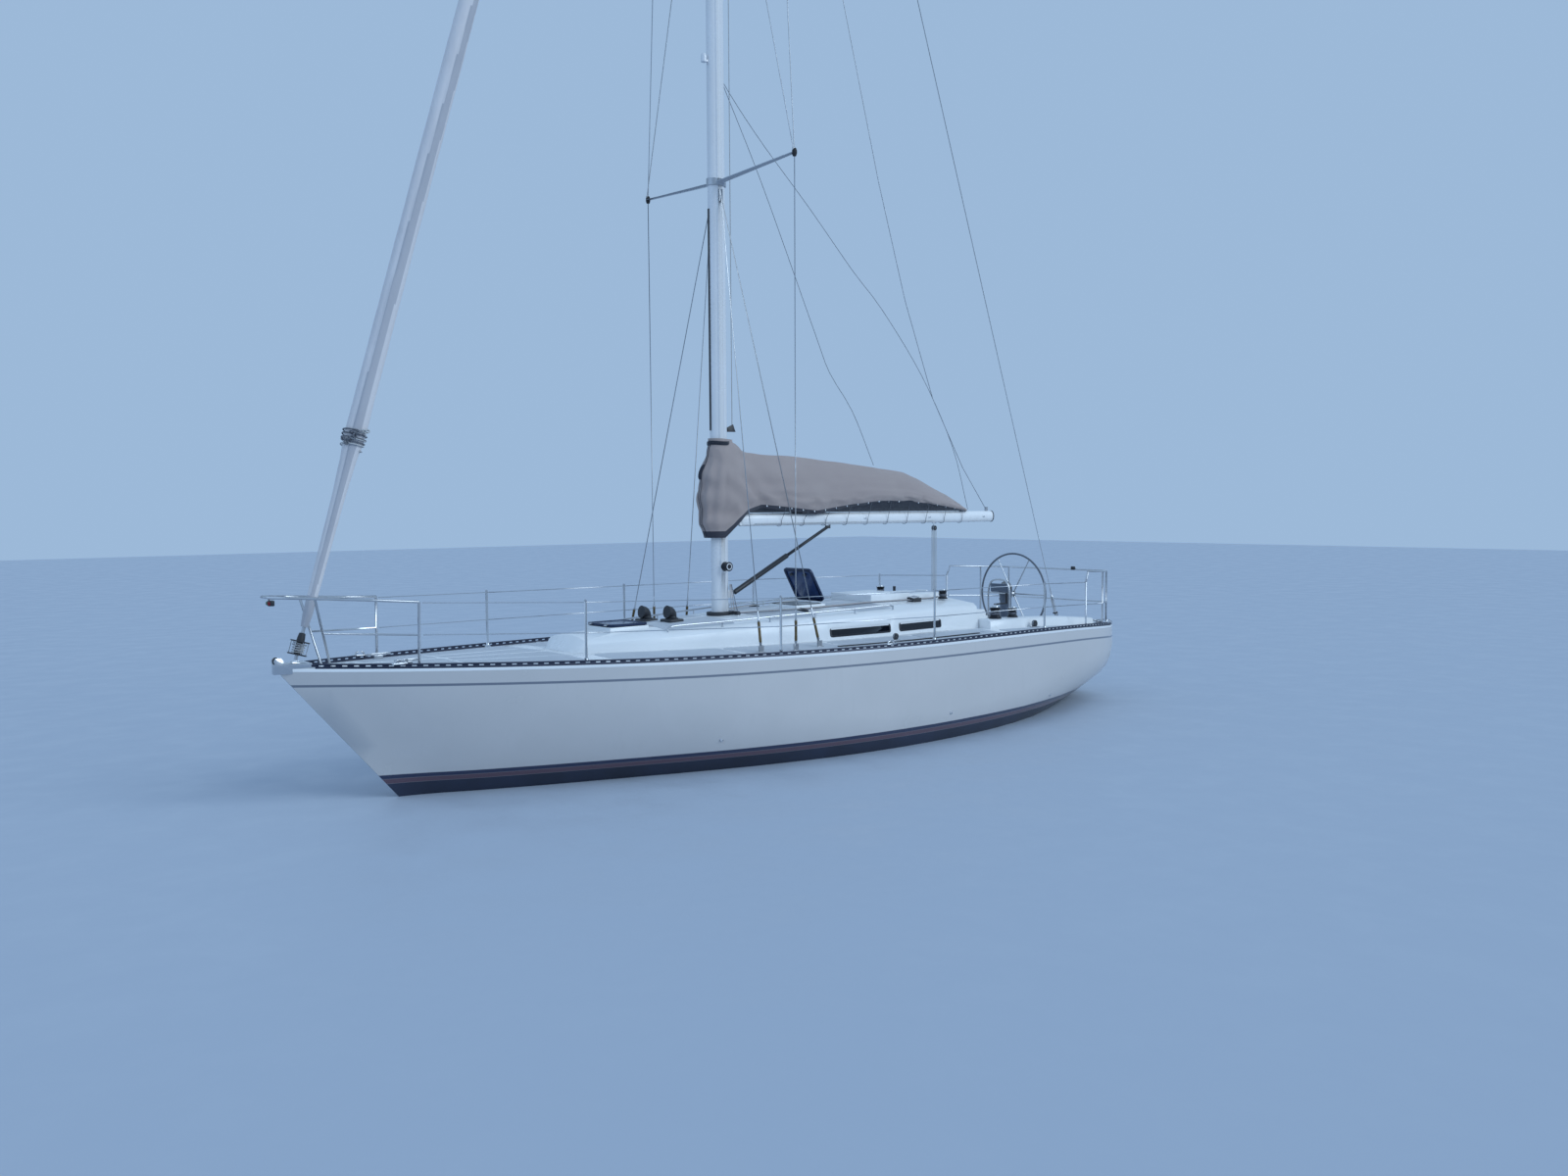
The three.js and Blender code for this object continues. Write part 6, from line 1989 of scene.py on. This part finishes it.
@frozen
class Helm:
    """The wheel, and the pedestal with its guard, compass, lever and instruments."""

    centre: Point = (-4.41, 0.0, 1.49)
    radius: float = 0.57
    column: float = -4.245
    sole: float = 0.6005

    def wheel(self) -> None:
        """Builds the wheel."""
        shape = Shape()
        x, _, z = self.centre
        rim = [(x, self.radius * cos(2 * pi * i / 96), z + self.radius * sin(2 * pi * i / 96)) for i in range(96)]
        shape.tube(rim, 0.0135, DARK_RIM, 12, loop=True)
        for i in range(6):
            a = pi * i / 3
            out = Vector((0, cos(a), sin(a)))
            hub = Vector(self.centre)
            shape.tube([hub + out * 0.03, hub + out * (self.radius - 0.005)], [0.0095, 0.0075], STEEL, 12)
        shape.turned(
            (x - 0.026, 0, z), mm(6, 0, 24, 0, 30, 6, 46, 12, 46, 36, 34, 44, 30, 88, 10, 88), STEEL, 32, AHEAD,
        )
        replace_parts(shape.piece("wheel", "stainless", "steering_wheel"), "steering_wheel")

    def pedestal(self) -> None:
        """Builds the pedestal."""
        shape = Shape()
        x = self.column
        base = (x, 0, self.sole)
        shape.turned(
            base, mm(20, 0, 150, 0, 150, 14, 142, 20, 104, 45, 92, 80, 82, 500, 80, 830, 90, 900, 94, 940, 94, 958),
            GRAPHITE, 40,
        )
        shape.turned((x, 0, self.sole + 0.957), mm(20, 0, 88, 0, 88, 45, 80, 56, 74, 58), BLACK, 40)
        dome = [(0.074 * cos(a), 0.056 + 0.064 * sin(a)) for a in np.linspace(0, 1.5, 10)]
        shape.turned((x, 0, self.sole + 0.957), dome, LENS_CLEAR, 40)
        shape.tube([(self.centre[0] + 0.064, 0, self.centre[2]), (x - 0.05, 0, self.centre[2])], 0.024, BLACK, 24)
        gx = x + 0.15
        leg = [(gx, -0.19, self.sole), (gx, -0.19, 1.2), (gx, -0.19, 1.52), (gx, -0.15, 1.655), (gx, -0.07, 1.7)]
        hoop = [*leg, *((x, -y, z) for x, y, z in reversed(leg))]
        shape.tube(smooth(hoop, 0.03), 0.0125, STEEL, 14)
        shape.tube([(gx, -0.19, 1.515), (gx, 0.19, 1.515)], 0.0115, STEEL, 12)
        for side in (-1, 1):
            shape.turned((gx, side * 0.19, self.sole), mm(12, 0, 32, 0, 32, 5, 14, 16), STEEL, 20)
        shape.block((x, -0.014, 1.505), (gx, 0.014, 1.525), BLACK, 0.004)
        shape.block((gx - 0.028, -0.15, 1.53), (gx + 0.012, 0.15, 1.645), GRAPHITE, 0.012)
        for y in (-0.07, 0.07):
            shape.turned((gx - 0.0275, y, 1.588), mm(10, 0, 46, 0, 46, 4, 40, 6, 4, 6), DIAL, 28, -AHEAD)
        shape.turned((x, -0.088, 1.42), mm(10, 0, 28, 0, 28, 12, 10, 16), STEEL, 20, -PORT)
        shape.tube([(x, -0.102, 1.42), (x + 0.01, -0.11, 1.5), (x + 0.02, -0.112, 1.555)], 0.006, STEEL, 10)
        shape.turned((x + 0.021, -0.112, 1.545), mm(4, 0, 13, 6, 14, 20, 4, 30), BLACK, 14)
        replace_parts(shape.piece("pedestal", "black_fitting"), "steering_pedestal")

    def build(self) -> None:
        """Builds the helm."""
        self.wheel()
        self.pedestal()


@frozen
class Aft:
    """Small pieces of the cockpit and stern, and of the hull near the water."""

    outlets: Pairs = ((1.9, 0.36), (-1.2, 0.34), (-3.4, 0.3))

    def build(self) -> None:
        """Builds dials, grab handles, the stern light, the backstay's tensioner and the hull's outlets."""
        shape = Shape()
        for y in (-0.52, 0.52):
            shape.turned((-2.5245, y, 1.36), mm(20, 0, 60, 0, 60, 8, 52, 12, 4, 12), BLACK, 32, -AHEAD)
            shape.turned((-2.5362, y, 1.36), mm(4, 0, 49, 0, 49, 1.5, 4, 1.5), DIAL, 32, -AHEAD)
        for sign in (-1, 1):
            bar = [
                (-2.526, sign * 0.4, 1.2), (-2.556, sign * 0.4, 1.215), (-2.556, sign * 0.4, 1.425),
                (-2.526, sign * 0.4, 1.44),
            ]
            shape.tube(smooth(bar, 0.01), 0.009, STEEL, 12)
        for x, z in self.outlets:
            for sign in (-1, 1):
                y = SHELL.side(x, z, sign)
                shape.turned(
                    (x, y - sign * 0.004, z), mm(12, 0, 26, 0, 24, 6, 16, 8, 14, 3, 3, 3), STEEL, 24, PORT * sign,
                )
        foot = Vector((-5.425, 0.0, DECK.height(-5.425, 0.03)))
        along = (Vector((0.59, 0, 17.346)) - foot).normalized()
        shape.turned(
            foot + along * 0.09, mm(4, 0, 22, 0, 24, 10, 24, 250, 16, 270, 9, 280, 9, 380, 4, 380), STEEL, 24, along,
        )
        shape.turned(foot + along * 0.08, mm(10, 0, 36, 0, 36, 12, 10, 14), BLACK, 24, along)
        shape.block((-5.475, 0.24, 1.8), (-5.425, 0.3, 1.85), BLACK, 0.008)
        shape.block((-5.489, 0.248, 1.806), (-5.47, 0.292, 1.844), LENS_CLEAR, 0.006)
        shape.piece("cockpit_and_stern_fittings", "stainless")


@frozen
class Propeller:
    """The three-bladed propeller: radius, half-chord, half-thickness and pitch angle along each blade."""

    centre: Point = (-3.135, 0.0, -0.73)
    hub: Pairs = mm(20, 0, 50, 0, 54, 8, 52, 40, 45, 85, 34, 125, 22, 150, 12, 163, 3, 167)
    blade: Table = (
        (0.034, 0.028, 0.0095, 50), (0.06, 0.038, 0.008, 44), (0.09, 0.052, 0.0065, 39), (0.122, 0.061, 0.0055, 34),
        (0.15, 0.06, 0.0048, 30), (0.18, 0.05, 0.004, 27), (0.197, 0.036, 0.0034, 25), (0.206, 0.02, 0.0026, 24),
        (0.209, 0.006, 0.0014, 24),
    )

    def build(self) -> None:
        """Builds the propeller."""
        shape = Shape()
        x, y, z = self.centre
        shape.turned((x + 0.047, y, z), self.hub, BRONZE, 40, -AHEAD)
        radii, *columns = (np.array(c) for c in zip(*self.blade))
        for turn in (90, 210, 330):
            a = radians(turn)
            out, around = Vector((0, cos(a), sin(a))), Vector((0, -sin(a), cos(a)))
            rings = []
            for r in np.sqrt(np.linspace(radii[0] ** 2, radii[-1] ** 2, 24)):
                chord, thick, pitch = (float(np.interp(r, radii, c)) for c in columns)
                p = radians(pitch)
                along = around * cos(p) + Vector((sin(p), 0, 0))
                face = Vector((cos(p), 0, 0)) - around * sin(p)
                middle = Vector(self.centre) + out * float(r) - around * (0.4 * float(r) ** 2)
                spots = [2 * pi * k / 20 for k in range(20)]
                rings.append([middle + along * (chord * cos(s)) + face * (thick * sin(s)) for s in spots])
            shape.rings(rings, BRONZE)
        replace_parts(shape.piece("propeller_blades", "bronze", "propeller", 50.0), "propeller")
        self.skirt()

    def skirt(self) -> None:
        """Closes the hull round the saildrive's leg with a painted skirt."""
        under = []
        for x, y in rounded(-3.045, -2.85, -0.06, 0.06, 0.035):
            under.append(SHELL.tree.ray_cast(Vector((x, y, -3.0)), UP)[0])
        middle = sum(under, Vector()) / len(under)
        rings = []
        for share, drop in ((1.0, -0.003), (1.0, 0.004), (0.93, 0.008)):
            rings.append([middle.lerp(p, share) - UP * drop for p in under])
        shape = Shape()
        shape.rings(rings, BOTTOM)
        shape.piece("saildrive_skirt", "bottom_paint")


def main() -> None:
    """Builds the boat's looks in order."""
    logging.basicConfig(level=logging.INFO, format="%(message)s")
    Studio().build()
    for names, skin in SKINS.items():
        for node in each_side(names):
            skin.dress(node)
    gear = (
        ToeRail(), Headsail(), SailCover(), *HATCHES, *WINCHES, Pads(), RoofGear(), DeckGear(), Rig(), Mainsheet(),
        Helm(), Aft(), Propeller(),
    )
    for part in gear:
        part.build()


if __name__ == "__main__":
    main()
